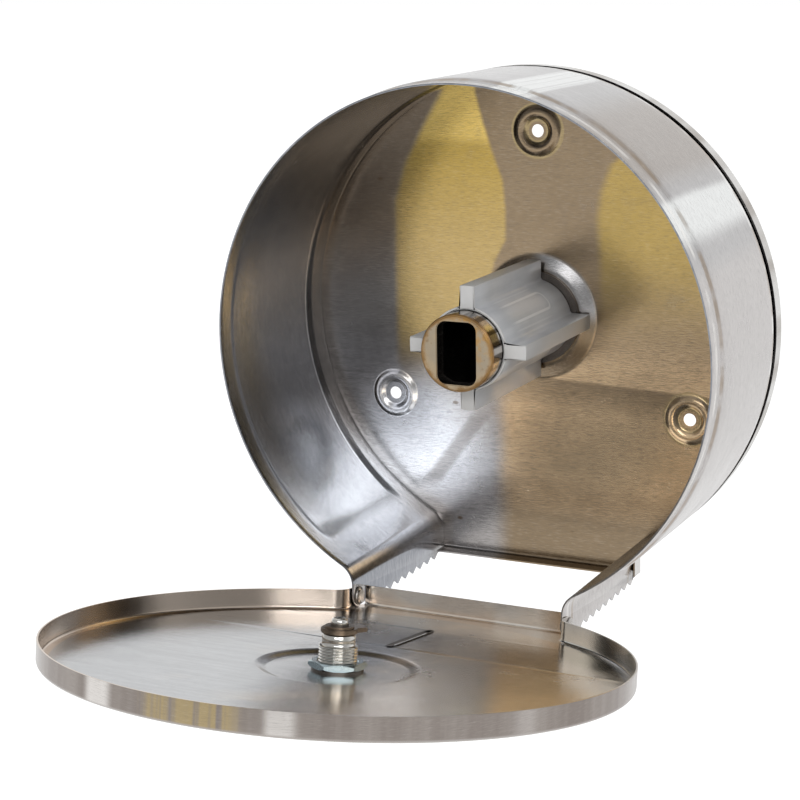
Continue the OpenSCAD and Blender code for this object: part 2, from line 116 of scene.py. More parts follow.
def settle(obj, sharp=38):  # bakes the modifiers, smooths the faces and marks sharp edges
    bpy.context.view_layer.update()
    graph = bpy.context.evaluated_depsgraph_get()
    mesh = bpy.data.meshes.new_from_object(obj.evaluated_get(graph))
    obj.modifiers.clear()
    obj.data = mesh
    bm = bmesh.new()
    bm.from_mesh(mesh)
    for face in bm.faces:
        face.smooth = True
    for edge in bm.edges:
        edge.smooth = len(edge.link_faces) != 2 or edge.calc_face_angle(0) < math.radians(sharp)
    bm.to_mesh(mesh)
    bm.free()
    return obj


def casePath(low):  # the case's outline from the left wing round the drum to the right wing
    wingSteps, bendSteps = 4, 12
    points = []
    for k in range(wingSteps + 1):
        points.append((-drum["mouthHalf"], low + (bendZ - low) * k / wingSteps, -1.0, 0.0))
    for k in range(1, bendSteps + 1):
        a = (math.pi / 2 - neckAngle) * k / bendSteps
        r = drum["bendRadius"]
        points.append((-bendX + r * math.cos(a), bendZ + r * math.sin(a), -math.cos(a), -math.sin(a)))
    left = list(points)
    count = round(math.degrees(2 * math.pi - 2 * neckAngle) / drum["arcStep"])
    for k in range(1, count):
        a = 1.5 * math.pi - neckAngle - (2 * math.pi - 2 * neckAngle) * k / count
        points.append((drum["radius"] * math.cos(a), drum["radius"] * math.sin(a), math.cos(a), math.sin(a)))
    for x, z, nx, nz in reversed(left):
        points.append((-x, z, -nx, nz))
    return points


def sweep(path, profile):  # profile(point) gives (offset, h) pairs; returns verts and quads
    verts, faces = [], []
    for p in path:
        row = profile(p)
        count = len(row)
        verts += [place(p[0] + p[2] * off, h, p[1] + p[3] * off) for off, h in row]
    for i in range(len(path) - 1):
        for j in range(count - 1):
            a = i * count + j
            faces.append((a, a + 1, a + count + 1, a + count))
    return verts, faces


def ring(radius, count, cx, cz):
    angles = [2 * math.pi * k / count for k in range(count)]
    return [(cx + radius * math.cos(a), cz + radius * math.sin(a)) for a in angles]


def revolve(profile, count, cx, cz):  # profile of (radius, h) about an axis along y
    verts, faces = [], []
    rows = len(profile)
    for k in range(count):
        a = 2 * math.pi * k / count
        verts += [place(cx + r * math.cos(a), h, cz + r * math.sin(a)) for r, h in profile]
    for k in range(count):
        n = (k + 1) % count
        for j in range(rows - 1):
            faces.append((k * rows + j, k * rows + j + 1, n * rows + j + 1, n * rows + j))
    return verts, faces


def ringQuads(rings, count, closed=False):  # quads between rings of points; closed joins last to first
    quads = []
    for j in range(rings if closed else rings - 1):
        a, b = j * count, (j + 1) % rings * count
        quads += [(a + k, a + (k + 1) % count, b + (k + 1) % count, b + k) for k in range(count)]
    return quads


def flatFill(loops, h):  # a flat sheet with holes
    flat = [p for loop in loops for p in loop]
    tris = tessellate_polygon([[Vector((x, z, 0)) for x, z in loop] for loop in loops])
    return [place(x, h, z) for x, z in flat], [tuple(t) for t in tris]


def combine(parts):
    verts, faces = [], []
    for v, f in parts:
        base = len(verts)
        verts += v
        faces += [tuple(i + base for i in face) for face in f]
    return verts, faces


def ease(t):
    t = min(1.0, max(0.0, t))
    return t * t * (3 - 2 * t)


def quarterTurn(steps, first=0):  # angles up to a right angle
    return [math.pi / 2 * k / steps for k in range(first, steps + 1)]


class Wire:  # a shader socket that takes arithmetic
    def __init__(self, graph, socket):
        self.graph = graph
        self.socket = socket

    def maths(self, operation, a, b=None):
        ins = {0: a} if b is None else {0: a, 1: b}
        return self.graph.add("ShaderNodeMath", {"operation": operation}, ins)

    def __add__(self, other):
        return self.maths("ADD", self, other)

    def __radd__(self, other):
        return self.maths("ADD", other, self)

    def __sub__(self, other):
        return self.maths("SUBTRACT", self, other)

    def __rsub__(self, other):
        return self.maths("SUBTRACT", other, self)

    def __mul__(self, other):
        return self.maths("MULTIPLY", self, other)

    def __rmul__(self, other):
        return self.maths("MULTIPLY", other, self)

    def __truediv__(self, other):
        return self.maths("DIVIDE", self, other)

    def __pow__(self, other):
        return self.maths("POWER", self, other)


class Finish:  # one material's node graph
    def __init__(self, name, **fixed):
        self.material = bpy.data.materials.new(name)
        self.material.use_nodes = True
        self.tree = self.material.node_tree
        self.tree.nodes.clear()
        self.shader = self.tree.nodes.new("ShaderNodeBsdfPrincipled")
        out = self.tree.nodes.new("ShaderNodeOutputMaterial")
        self.tree.links.new(self.shader.outputs[0], out.inputs[0])
        for key, value in fixed.items():
            self.set(key, value)
        at = self.tree.nodes.new("ShaderNodeTexCoord")
        self.at = Wire(self, at.outputs["Object"])
        split = self.tree.nodes.new("ShaderNodeSeparateXYZ")
        self.tree.links.new(at.outputs["Object"], split.inputs[0])
        self.x, self.y, self.z = (Wire(self, split.outputs[i]) for i in range(3))

    def fill(self, socket, value):
        if isinstance(value, Wire):
            self.tree.links.new(value.socket, socket)
        elif isinstance(value, tuple) and socket.type == "RGBA":
            socket.default_value = (*value, 1.0)
        else:
            socket.default_value = value

    def set(self, key, value):
        self.fill(self.shader.inputs[key.replace("_", " ")], value)

    def add(self, kind, settings, inputs, out=0):
        node = self.tree.nodes.new(kind)
        for key, value in settings.items():
            if key == "stops":
                ramp = node.color_ramp
                while len(ramp.elements) < len(value):
                    ramp.elements.new(0.5)
                for element, (at, colour) in zip(ramp.elements, value):
                    element.position = at
                    element.color = (*colour, 1.0)
            else:
                setattr(node, key, value)
        for key, value in inputs.items():
            self.fill(node.inputs[key], value)
        return Wire(self, node.outputs[out])

    def vector(self, x, y, z):
        return self.add("ShaderNodeCombineXYZ", {}, {0: x, 1: y, 2: z})

    def noise(self, where, scale, detail=3.0, rough=0.5):
        ins = {"Vector": where, "Scale": scale, "Detail": detail, "Roughness": rough}
        return self.add("ShaderNodeTexNoise", {}, ins)

    def band(self, value, low, high, a=0.0, b=1.0):  # clamps and maps a value between two limits
        ins = {0: value, 1: low, 2: high, 3: a, 4: b}
        return self.add("ShaderNodeMapRange", {"interpolation_type": "SMOOTHSTEP"}, ins)

    def patch(self, value, riseFrom, riseTo, fallFrom, fallTo):  # one inside four limits, nought outside
        return self.band(value, riseFrom, riseTo) * self.band(value, fallTo, fallFrom)

    def blend(self, factor, a, b):
        return self.add("ShaderNodeMix", {"data_type": "RGBA"}, {0: factor, 6: a, 7: b}, out=2)

    def bump(self, height, strength, distance):
        return self.add("ShaderNodeBump", {}, {"Height": height, "Strength": strength, "Distance": distance})

    def turn(self, across, up):  # angle clockwise from straight up, in radians
        return self.add("ShaderNodeMath", {"operation": "ARCTAN2"}, {0: across, 1: up})

    def size(self, value):
        return self.add("ShaderNodeMath", {"operation": "ABSOLUTE"}, {0: value})

    def away(self, x=0.0, z=0.0):  # distance, in the wall's plane, from a point
        return ((self.x - x) ** 2 + (self.z - z) ** 2) ** 0.5

    def follow(self, value, points):  # a curve through (value, result) pairs
        low, high = points[0][0], points[-1][0]
        results = [r for _, r in points]
        least, span = min(results), (max(results) - min(results)) or 1.0
        stops = [((v - low) / (high - low), ((r - least) / span,) * 3) for v, r in points]
        ramp = self.add("ShaderNodeValToRGB", {"stops": stops}, {0: (value - low) / (high - low)})
        return ramp * span + least


def shutHeight(f):  # a point of the open cover, as its height when shut
    s, c = math.sin(hinge["open"]), math.cos(hinge["open"])
    return (f.y + hinge["h"] * mm) * -s + (f.z - hinge["z"] * mm) * c + hinge["z"] * mm


def edgeOf(f):  # one on the cover's turned edge, nought on its face
    s, c = math.sin(hinge["open"]), math.cos(hinge["open"])
    face = (coverIn + drum["sheet"] - hinge["h"]) * mm
    deep = (f.y + hinge["h"] * mm) * c + (f.z - hinge["z"] * mm) * s + face
    return f.band(deep, 0.0006, 0.0018)


# repeats a metre, along and across the brushing; round and steep fit it to a turn about the drum
grainSizes = {"dash": (230, 2300), "streak": (30, 520), "round": 0.125, "steep": 0.1}


def grainAt(f, way):  # two brush textures: short dashes, and longer streaks
    g = grainSizes
    if way == "level":
        u, v, w = f.x, f.z, f.y
    elif way == "round":  # round the drum, measured from its top
        u, v, w = f.turn(f.x, f.z) * g["round"], f.y, f.z * g["steep"]
    elif way == "cover":  # along x on the open cover
        s, c = math.sin(hinge["open"]), math.cos(hinge["open"])
        u, v, w = f.x, f.y * s - f.z * c, f.y * c + f.z * s
    elif way == "rim":  # round the open cover's edge, and along x on its face
        up = shutHeight(f)
        edge = edgeOf(f)
        u = f.turn(f.x, up) * g["round"] * edge + f.x * (1.0 - edge)
        v, w = f.z * edge + up * (1.0 - edge), 0.0
    else:  # out from the wall
        u, v, w = f.y, f.x, f.z
    along, across = g["dash"]
    dash = f.noise(f.vector(u * along, v * across, w * across), 1.0, 2.0, 0.65)
    along, across = g["streak"]
    streak = f.noise(f.vector(u * along, v * across, w * across), 1.0, 3.0, 0.55)
    return dash, streak


wear = {"dark": 0.90, "light": 1.06, "scuffed": 1.35, "dashDark": 0.35, "dashPale": (0.95, 0.94, 0.90),
        "speck": (0.16, 0.10, 0.045), "speckScale": 78.0, "speckStretch": 0.6, "brushDepth": 0.000035}


def shaded(tone, factor):  # a darker or paler tone
    return tuple(min(1.0, c * factor) for c in tone)


def steel(name, way, tone, rough, cast=None, specks=0.0, scuffs=0.25, grain=1.0):
    f = Finish(name, Metallic=1.0)
    dash, streak = grainAt(f, way)
    cloud = f.noise(f.at, 11.0, 4.0, 0.55)
    smear = f.noise(f.at, 45.0, 5.0, 0.65)
    shade = f.band(dash * 0.2 + streak * 0.4 + cloud * 0.4, 0.38, 0.62)
    colour = f.blend(shade, shaded(tone, wear["dark"]), shaded(tone, wear["light"]))
    if cast:
        colour = cast(f, colour, shade)
    if specks:
        spot = f.vector(f.x * wear["speckStretch"], f.y, f.z)
        near = f.add("ShaderNodeTexVoronoi", {"feature": "F1"}, {"Vector": spot, "Scale": wear["speckScale"]})
        chance = Wire(f, near.socket.node.outputs["Color"])
        pick = f.add("ShaderNodeSeparateColor", {}, {0: chance})
        dot = f.band(near + smear * 0.06, 0.13, 0.07) * f.band(pick, 0.78, 0.86) * specks
        colour = f.blend(dot, colour, wear["speck"])
    scuff = f.band(smear, 0.57, 0.68) * f.band(cloud, 0.46, 0.62) * scuffs
    colour = f.blend(scuff * 0.4, colour, shaded(tone, wear["scuffed"]))
    colour = f.blend(f.band(dash, 0.50, 0.34) * 0.24 * grain, colour, shaded(tone, wear["dashDark"]))
    colour = f.blend(f.band(dash, 0.54, 0.70) * 0.10 * grain, colour, wear["dashPale"])
    f.set("Base Color", colour)
    low, high = rough
    patchy = dash * 0.25 + smear * 0.40 + cloud * 0.35
    f.set("Roughness", f.band(patchy, 0.35, 0.66, low, high) + scuff * 0.15)
    f.set("Normal", f.bump(dash * 0.85 + streak * 0.15, 1.0, wear["brushDepth"] * grain))
    return f


# the wall pan's painted reflections: an edge is a place across for each height, and level is how pale the
# painted brown reflection is there
panMarks = {
    "leftEdge": [(-0.06, -0.060), (-0.045, -0.071), (-0.03, -0.079), (0.055, -0.079), (0.075, -0.073),
                 (0.095, -0.062), (0.112, -0.052), (0.124, -0.050)],
    "rightEdge": [(0.0, -0.030), (0.026, -0.024), (0.038, -0.0176), (0.053, -0.0176), (0.068, -0.019),
                  (0.083, -0.025), (0.098, -0.030), (0.112, -0.034)],
    "farEdge": [(-0.03, 0.034), (0.03, 0.0325), (0.05, 0.031), (0.065, 0.033), (0.078, 0.038),
                (0.088, 0.050), (0.11, 0.075)],
    "level": [(-0.124, 0.28), (-0.106, 0.32), (-0.092, 0.76), (-0.084, 1.0), (-0.049, 1.0),
              (-0.044, 0.76), (-0.040, 0.58), (-0.0342, 0.46), (-0.0333, 0.40), (-0.0319, 1.0),
              (-0.024, 0.90), (-0.014, 0.66), (-0.004, 0.50), (0.030, 0.34), (0.124, 0.32)],
    "brown": (1.0, 0.73, 0.44), "leftHigh": (0.27, 0.21, 0.15), "leftLow": (0.27, 0.25, 0.23),
    "under": (0.30, 0.24, 0.17), "gold": (0.58, 0.40, 0.090), "goldLow": (0.62, 0.45, 0.185),
    "goldTop": (0.98, 0.70, 0.20), "goldFar": (0.58, 0.41, 0.12), "bossShade": (0.13, 0.105, 0.08),
    "bossReflection": (0.34, 0.36, 0.39), "fanHighlight": (0.90, 0.91, 0.94), "ringSeats": ((0.0, 0.0935), (0.081, -0.0467)),
    "ring": (0.55, 0.43, 0.20), "gap": (0.02, 0.02, 0.02), "dirt": (0.10, 0.075, 0.05)}


def panCast(f, colour, shade):  # painted reflections: gold above and at the right, browner steel between and below
    m = panMarks
    reach = f.away()
    leftEdge, rightEdge, farEdge = (f.follow(f.z, m[side]) for side in ("leftEdge", "rightEdge", "farEdge"))
    inside = f.band(f.x - leftEdge, -0.003, 0.003)
    # gold: painted reflection of warm surroundings, above and at the right
    gold = inside * f.band(f.x - rightEdge, 0.0015, -0.0015) * f.band(f.z, -0.034, -0.008)
    goldFar = f.band(f.x - farEdge, -0.002, 0.004) * f.band(f.z, -0.020, 0.045)
    # level and brown: the brown made paler and darker with height, a painted reflection
    level = f.follow(f.z + (f.x - 0.030) * 0.035, m["level"])
    brown = f.blend(level, (0.0, 0.0, 0.0), m["brown"])
    middle = inside * f.band(f.x, -0.030, -0.010) + f.band(f.z, 0.0, 0.02) * inside
    # left of the edge: painted darker reflection of the drum's inside
    left = f.blend(f.band(f.z, 0.0, 0.05), m["leftLow"], m["leftHigh"])
    colour = f.blend((1.0 - inside) * f.band(f.z, -0.030, 0.0), colour, left)
    # under: a darker brown on the left middle, part of the painted reflections
    under = inside * f.band(f.z, -0.048, -0.036) * f.band(f.x, -0.018, -0.026)
    colour = f.blend(under * 0.85, colour, m["under"])
    colour = f.blend(f.band(middle, 0.0, 1.0) * 0.94, colour, brown)
    # yellow: tones of the painted gold reflection, paler near the top
    yellow = f.blend(f.band(f.z, 0.02, 0.095), m["goldLow"], m["gold"])
    yellow = f.blend(f.band(f.z, 0.083, 0.092) * 0.9, yellow, m["goldTop"])
    colour = f.blend(gold * 0.92, colour, yellow)
    colour = f.blend(goldFar * 0.80, colour, m["goldFar"])

    # the boss's slope, painted dark as shade round the flange and pale at its upper right as a reflection
    slope = f.patch(reach, 0.0225, 0.0245, 0.0305, 0.0335)
    wedge = f.band(f.x + f.z * 0.8, 0.020, 0.030) * f.band(f.z, -0.004, 0.006)
    colour = f.blend(slope * 0.8, colour, f.blend(wedge, m["bossShade"], m["bossReflection"]))

    # a painted pale highlight fan low on the left, with a crease across it where the highlight breaks
    spread = ((f.x + 0.062) ** 2 * 0.7 + (f.z + 0.068) ** 2) ** 0.5
    fanHighlight = f.band(spread, 0.044, 0.014) * f.band(f.x, -0.014, -0.022)
    crease = (f.x + 0.045) * 0.8 - (f.z + 0.072) * 0.6
    crease = f.band(crease * crease, 0.00003, 0.0) * f.patch(f.z, -0.100, -0.088, -0.060, -0.045)
    colour = f.blend(fanHighlight * (1.0 - crease * 0.8) * 0.9, colour, m["fanHighlight"])
    # painted gold reflections as rings on the seats' slopes
    for x, z in m["ringSeats"]:
        seat = f.away(x, z)
        rings = f.patch(seat, 0.0120, 0.0126, 0.0136, 0.0146) + f.patch(seat, 0.0042, 0.0050, 0.0066, 0.0074)
        colour = f.blend(f.band(rings, 0.0, 1.0) * 0.45, colour, m["ring"])
    gap = f.band(reach, 0.1243, 0.1249) * f.band(f.y, -0.0015, -0.0025)
    colour = f.blend(gap * f.band(f.z, -0.100, -0.095), colour, m["gap"])
    return f.blend(f.band(shade, 1.0, 0.0) * 0.07, colour, m["dirt"])


# zones in degrees from the top, and tones, of the drum's painted reflections and of the painted shade and
# highlight on its steps
drumMarks = {"pale": (8.5, 10.5, 16.5, 19.0), "second": (52, 55, 59, 66), "dull": (22, 32, 46, 53),
             "cream": (66, 72), "paleReflectionTone": (0.92, 0.94, 0.93), "dullReflectionTone": (0.36, 0.32, 0.285),
             "creamReflectionTone": (0.66, 0.61, 0.58), "frontStepShadeTone": (0.34, 0.27, 0.20), "crestHighlightTone": (0.92, 0.90, 0.86),
             "rearStepHighlight": (0.93, 0.91, 0.88), "rearStepShade": (0.42, 0.34, 0.28), "shadow": (0.02, 0.02, 0.02)}


def degrees(values):
    return [math.radians(v) for v in values]


def drumCast(f, colour, shade):  # painted reflections: pale and dull zones round the wall, in degrees from the top
    m = drumMarks
    turn = f.turn(f.x, f.z)
    turn = turn + (f.noise(f.vector(f.y * 9, turn * 3, 0.0), 1.0, 2.0, 0.5) - 0.5) * 0.05
    lines = f.noise(f.vector(turn * 60, f.y * 3, 0.0), 1.0, 3.0, 0.5)
    pale = f.patch(turn, *degrees(m["pale"])) * f.band(lines, 0.40, 0.50, 0.55, 1.0)
    second, dull = (f.patch(turn, *degrees(m[zone])) for zone in ("second", "dull"))
    cream = f.band(turn, *degrees(m["cream"]))
    colour = f.blend(dull * 0.8, colour, m["dullReflectionTone"])
    colour = f.blend(cream * 0.35, colour, m["creamReflectionTone"])
    colour = f.blend(f.band(pale + second, 0.0, 1.0) * 0.75, colour, m["paleReflectionTone"])
    slow = f.noise(f.vector(turn * 7, 0.0, 5.0), 1.0, 1.0, 0.5)
    # painted shade along the front step, a painted highlight on the crest before the front edge, and painted
    # pale and dark dashes at the rear step
    frontStepShade = f.patch(f.y, -0.0945, -0.0936, -0.0922, -0.0912) * f.band(slow, 0.40, 0.56)
    crest = f.patch(f.y, -0.1005, -0.0997, -0.0978, -0.0970)
    rear = f.patch(f.y, -0.0178, -0.0168, -0.0156, -0.0146)
    colour = f.blend(frontStepShade * 0.7, colour, m["frontStepShadeTone"])
    colour = f.blend(rear * 0.7, colour, f.blend(f.band(slow, 0.44, 0.52), m["rearStepHighlight"], m["rearStepShade"]))
    colour = f.blend(crest * f.band(slow, 0.60, 0.44) * 0.5, colour, m["crestHighlightTone"])
    return f.blend(f.band(f.y, -0.0102, -0.0096), colour, m["shadow"])  # shaded by the pan's lip


lipMarks = {"brown": (0.34, 0.30, 0.26), "pale": (0.72, 0.71, 0.69)}


def lipCast(f, colour, shade):  # runs round the pan's lip and in the boss's hollow, plain steel behind
    run = f.noise(f.vector(f.turn(f.x, f.z) * 6, 0.0, 9.0), 1.0, 2.0, 0.5)
    side = f.band(f.y, -0.0010, -0.0022)
    tone = f.blend(f.band(run, 0.40, 0.58), lipMarks["brown"], lipMarks["pale"])
    return f.blend(side * 0.75, colour, tone)


# tones of the drum inside's painted reflection, highlight line and highlight
insideMarks = {"brown": (0.22, 0.195, 0.17), "line": (0.75, 0.78, 0.83), "pale": (0.50, 0.52, 0.55)}


def insideCast(f, colour, shade):  # a painted reflection of the brown pan towards the wall, a painted highlight low on the left, a thin painted highlight line behind
    brown = f.band(f.y, -0.020, -0.008)
    pale = f.band(f.z + f.noise(f.at, 14.0, 2.0, 0.5) * 0.03, -0.047, -0.082)
    pale = pale * f.band(f.z, -0.114, -0.094) * f.band(f.x, 0.0, -0.02)
    line = f.patch(f.y, -0.0166, -0.0161, -0.0157, -0.0152) * f.patch(f.z, -0.106, -0.094, 0.04, 0.09)
    colour = f.blend(brown * 0.6, colour, insideMarks["brown"])
    colour = f.blend(line * 0.8, colour, insideMarks["line"])
    return f.blend(pale * 0.85, colour, insideMarks["pale"])


coverMarks = {"warmReflection": (0.86, 0.73, 0.58), "warmFarReflection": (1.0, 0.89, 0.70), "lip": (0.62, 0.52, 0.43),
              "lipFar": (0.86, 0.84, 0.79), "strip": (0.99, 0.92, 0.83), "stripDull": (0.90, 0.78, 0.66),
              "rust": (0.42, 0.24, 0.09), "slot": (0.03, 0.022, 0.016)}


def slotShade(f, up):  # painted shade: dark walls in the paper level slot and on the lip round it
    wide, long = f.size(f.x), f.size(up + 0.072)
    return f.band(wide, 0.0023, 0.00215) * f.band(long, 0.0230, 0.0228)


def coverCast(f, colour, shade):  # painted warm reflection at the right, pale by the hinge as a painted highlight, dark in the paper level slot as painted shade
    m = coverMarks
    up = shutHeight(f)
    blot = f.noise(f.at, 26.0, 3.0, 0.5)
    warmReflection = f.band(f.x + blot * 0.03, 0.000, 0.060) * 0.75 + f.band(blot, 0.52, 0.66) * 0.15
    warmTone = f.blend(f.band(f.x, 0.05, 0.09), m["warmReflection"], m["warmFarReflection"])
    colour = f.blend(f.band(warmReflection, 0.0, 1.0), colour, warmTone)
    # the lip painted brown, paler at the right, as a reflection
    lip = f.band((f.x ** 2 + up ** 2) ** 0.5, 0.1213, 0.1222)
    colour = f.blend(lip * 0.9, colour, f.blend(f.band(f.x, 0.02, 0.06), m["lip"], m["lipFar"]))
    strip = f.band(up, -0.1296, -0.1312) * f.band(f.size(f.x), 0.0545, 0.0530)
    colour = f.blend(strip * 0.9, colour, f.blend(f.band(blot, 0.42, 0.58), m["strip"], m["stripDull"]))
    rust = f.band(f.x, 0.036, 0.052) * f.band(up, -0.124, -0.131)
    colour = f.blend(rust * 0.7, colour, m["rust"])
    return f.blend(slotShade(f, up), colour, m["slot"])


# turns in degrees of the rim's painted gold and pale reflections, and their tones
rimMarks = {"gold": (-10, -6, 8, 13), "paleLeft": (-24, -20.5, -18, -14), "paleRight": (14, 16.5, 19, 22),
            "paleFar": (56, 61, 62, 66), "face": (0.52, 0.51, 0.50), "brown": (0.26, 0.225, 0.205),
            "brownPale": (0.34, 0.305, 0.28), "goldTone": (0.50, 0.38, 0.16), "paleReflectionTone": (0.85, 0.82, 0.79)}


def rimCast(f, colour, shade):  # the cover's outer side: painted reflections as brown runs with a few gold and pale runs
    m = rimMarks
    up = shutHeight(f)
    turn = f.turn(f.x, up)
    run = f.noise(f.vector(turn * 5, 0.0, 0.0), 1.0, 2.0, 0.5)
    fine = f.noise(f.vector(turn * 38, f.z * 6, 0.0), 1.0, 2.0, 0.5)
    face = f.blend(shade * 0.5, colour, m["face"])
    colour = f.blend(f.band(run * 0.75 + fine * 0.25, 0.34, 0.66), m["brown"], m["brownPale"])
    gold = f.patch(turn, *degrees(m["gold"])) * f.band(fine, 0.30, 0.60)
    pale = f.patch(turn, *degrees(m["paleLeft"])) + f.patch(turn, *degrees(m["paleRight"])) * 0.7
    pale = pale + f.patch(turn, *degrees(m["paleFar"])) * 0.35
    colour = f.blend(gold * 0.62, colour, m["goldTone"])
    colour = f.blend(f.band(pale, 0.0, 1.0) * 0.8, colour, m["paleReflectionTone"])
    colour = f.blend(edgeOf(f), face, colour)
    return f.blend(slotShade(f, up), colour, coverMarks["slot"])


sleeveMarks = {"dull": (0.66, 0.68, 0.71), "grey": (0.77, 0.785, 0.81), "line": (0.98, 0.99, 1.0),
               "wearAndEndShade": (0.70, 0.69, 0.67), "inset": 0.0015, "lineEnd": 0.0285, "corner": 0.0035}


def sleeveFinish():  # satin grey with front ends painted a little darker as shade and fin tips a little darker as wear, and a bright line round each valley between fins painted as a reflection
    m = sleeveMarks
    f = Finish("sleeveGrey", Metallic=0.0, Coat_Weight=0.5)
    f.set("Coat Roughness", 0.18)
    flow = f.noise(f.vector(f.x * 260, f.y * 22, f.z * 260), 1.0, 3.0, 0.5)
    soft = f.noise(f.at, 60.0, 4.0, 0.55)
    ends = f.band(f.y, -0.0868, -0.0876)
    reach = f.away()
    wearAndEndShade = f.band(reach + soft * 0.0006, 0.0296, 0.0302)
    colour = f.blend(f.band(flow * 0.5 + soft * 0.5, 0.38, 0.62), m["dull"], m["grey"])
    eighth = math.pi / 4
    turn = f.turn(f.x, f.z) + math.pi * 2
    fromFin = f.add("ShaderNodeMath", {"operation": "PINGPONG"}, {0: turn, 1: eighth})
    across = (eighth - fromFin) * 0.020
    over = f.add("ShaderNodeMath", {"operation": "MAXIMUM"}, {0: across - m["inset"], 1: 0.0})
    past = f.add("ShaderNodeMath", {"operation": "MAXIMUM"}, {0: f.y + m["lineEnd"], 1: 0.0})
    line = (over ** 2 + past ** 2) ** 0.5 - m["corner"]
    onTube = f.band(reach, 0.0206, 0.0202)
    line = f.band(line ** 2, 0.0000008, 0.0) * f.band(f.y, -0.080, -0.060) * onTube
    # softer painted reflection stripes beside the fins
    beside = f.patch(fromFin, 0.29, 0.32, 0.34, 0.37) * f.patch(f.y, -0.078, -0.066, -0.034, -0.022)
    colour = f.blend(f.band(line + beside * onTube * 0.5, 0.0, 1.0) * 0.9, colour, m["line"])
    colour = f.blend(f.band(ends + wearAndEndShade, 0.0, 1.0) * 0.7, colour, m["wearAndEndShade"])
    f.set("Base Color", colour)
    f.set("Roughness", f.band(soft, 0.35, 0.65, 0.30, 0.42))
    f.set("Normal", f.bump(flow * 0.6 + soft * 0.4, 0.6, 0.00004))
    return f


capMarks = {"face": (0.42, 0.33, 0.215), "faceDull": (0.36, 0.30, 0.22), "sideReflectionDark": (0.10, 0.08, 0.065),
            "sideReflectionPale": (0.60, 0.57, 0.54), "rust": (0.36, 0.20, 0.07), "stain": (0.48, 0.27, 0.08),
            "fleck": (0.22, 0.14, 0.07)}


def capFinish():  # bright plate that rusts from its front edge, with painted reflections as dark and pale runs round its side
    m = capMarks
    f = Finish("capPlate", Metallic=1.0)
    blot = f.noise(f.at, 170.0, 5.0, 0.62)
    broad = f.noise(f.at, 60.0, 3.0, 0.5)
    front = f.band(f.y, -0.0992, -0.1001)
    edge = f.band(f.away() + (blot - 0.5) * 0.005, 0.0155, 0.0180) * f.band(f.y, -0.0975, -0.0995)
    face = f.blend(f.band(broad, 0.40, 0.60), m["face"], m["faceDull"])
    # dark and pale runs round the side: painted chrome reflections
    run = f.band(f.noise(f.vector(f.turn(f.x, f.z) * 3.2, 0.0, 3.0), 1.0, 1.0, 0.5), 0.47, 0.53)
    colour = f.blend(front, f.blend(run, m["sideReflectionDark"], m["sideReflectionPale"]), face)
    colour = f.blend(edge * 0.85, colour, m["rust"])
    stain = f.band(f.x + f.z * 0.6, 0.004, 0.014) * f.band(blot, 0.45, 0.62) * front
    colour = f.blend(stain * 0.75, colour, m["stain"])
    fleck = f.band(f.noise(f.at, 520.0, 3.0, 0.6), 0.62, 0.70)
    f.set("Base Color", f.blend(fleck * 0.45, colour, m["fleck"]))
    f.set("Roughness", f.band(blot, 0.3, 0.7, 0.10, 0.22) + edge * 0.2)
    f.set("Normal", f.bump(blot * 0.7 + fleck * 0.3, 0.5, 0.00004))
    return f


# each steel: which way it is brushed, its tone, and its least and greatest roughness
panSteel = steel("panSteel", "level", (0.40, 0.38, 0.37), (0.17, 0.26), panCast, specks=0.8, scuffs=0.2)
lipSteel = steel("lipSteel", "level", (0.52, 0.51, 0.50), (0.16, 0.26), lipCast, scuffs=0.4)
drumSteel = steel("drumSteel", "round", (0.46, 0.45, 0.45), (0.15, 0.24), drumCast, scuffs=0.5)
drumInside = steel("drumInside", "round", (0.31, 0.322, 0.352), (0.14, 0.23), insideCast, scuffs=0.4)
coverSteel = steel("coverSteel", "cover", (0.45, 0.46, 0.475), (0.14, 0.23), coverCast, scuffs=0.5, grain=0.6)
rimSteel = steel("rimSteel", "rim", (0.44, 0.40, 0.365), (0.12, 0.20), rimCast, scuffs=0.15, grain=0.6)
# nearly black steel: painted shade for the spindle tube and the lock catch plate, seen through the end cap's
# slot
shadedTubeSteel = steel("shadedTubeSteel", "deep", (0.05, 0.045, 0.04), (0.35, 0.5))
innerSteel = steel("innerSteel", "deep", (0.17, 0.15, 0.135), (0.24, 0.38))
rivetSteel = steel("rivetSteel", "deep", (0.48, 0.46, 0.44), (0.20, 0.34))
darkSteel = steel("darkSteel", "deep", (0.16, 0.145, 0.13), (0.28, 0.42))
nickel = steel("nickel", "deep", (0.62, 0.61, 0.58), (0.06, 0.14), grain=0.4)
zinc = steel("zinc", "level", (0.36, 0.44, 0.47), (0.16, 0.28), grain=0.6)
bronze = steel("bronze", "deep", (0.22, 0.175, 0.135), (0.24, 0.38))
plugBrass = steel("plugBrass", "deep", (0.62, 0.50, 0.27), (0.22, 0.34))
sleeveGrey = sleeveFinish()
endPlate = capFinish()
print("finishes ready")


wallSizes = {"bulge": 1.4, "joggle": 5.5, "joggleSteps": 8, "rearBand": 10.3, "frontBand": 95.5,
             "fadeFrom": 36.0, "fadeTo": 40.0, "fadeAbove": 4.0, "overlap": 2.0,
             "rearStops": [drum["sheet"], 4.0, 7.5], "midStops": [24.0, 38.0, 52.0, 66.0, 80.0],
             "frontStops": [98.5, 102.0, drum["depth"]], "toothPitch": 8.75, "toothDepth": 2.6,
             "rootRadius": 1.3, "firstTooth": 12.0, "teeth": 9, "wingCorner": 3.5,
             "toothTip": ((0.45, 0.12), (0.2, 0.0), (-0.2, 0.0), (-0.45, 0.12))}


def bulgeAt(h):  # how far the wall stands out between its two bands
    s = wallSizes
    return s["bulge"] * ease((h - s["rearBand"]) / s["joggle"]) * ease((s["frontBand"] - h) / s["joggle"])


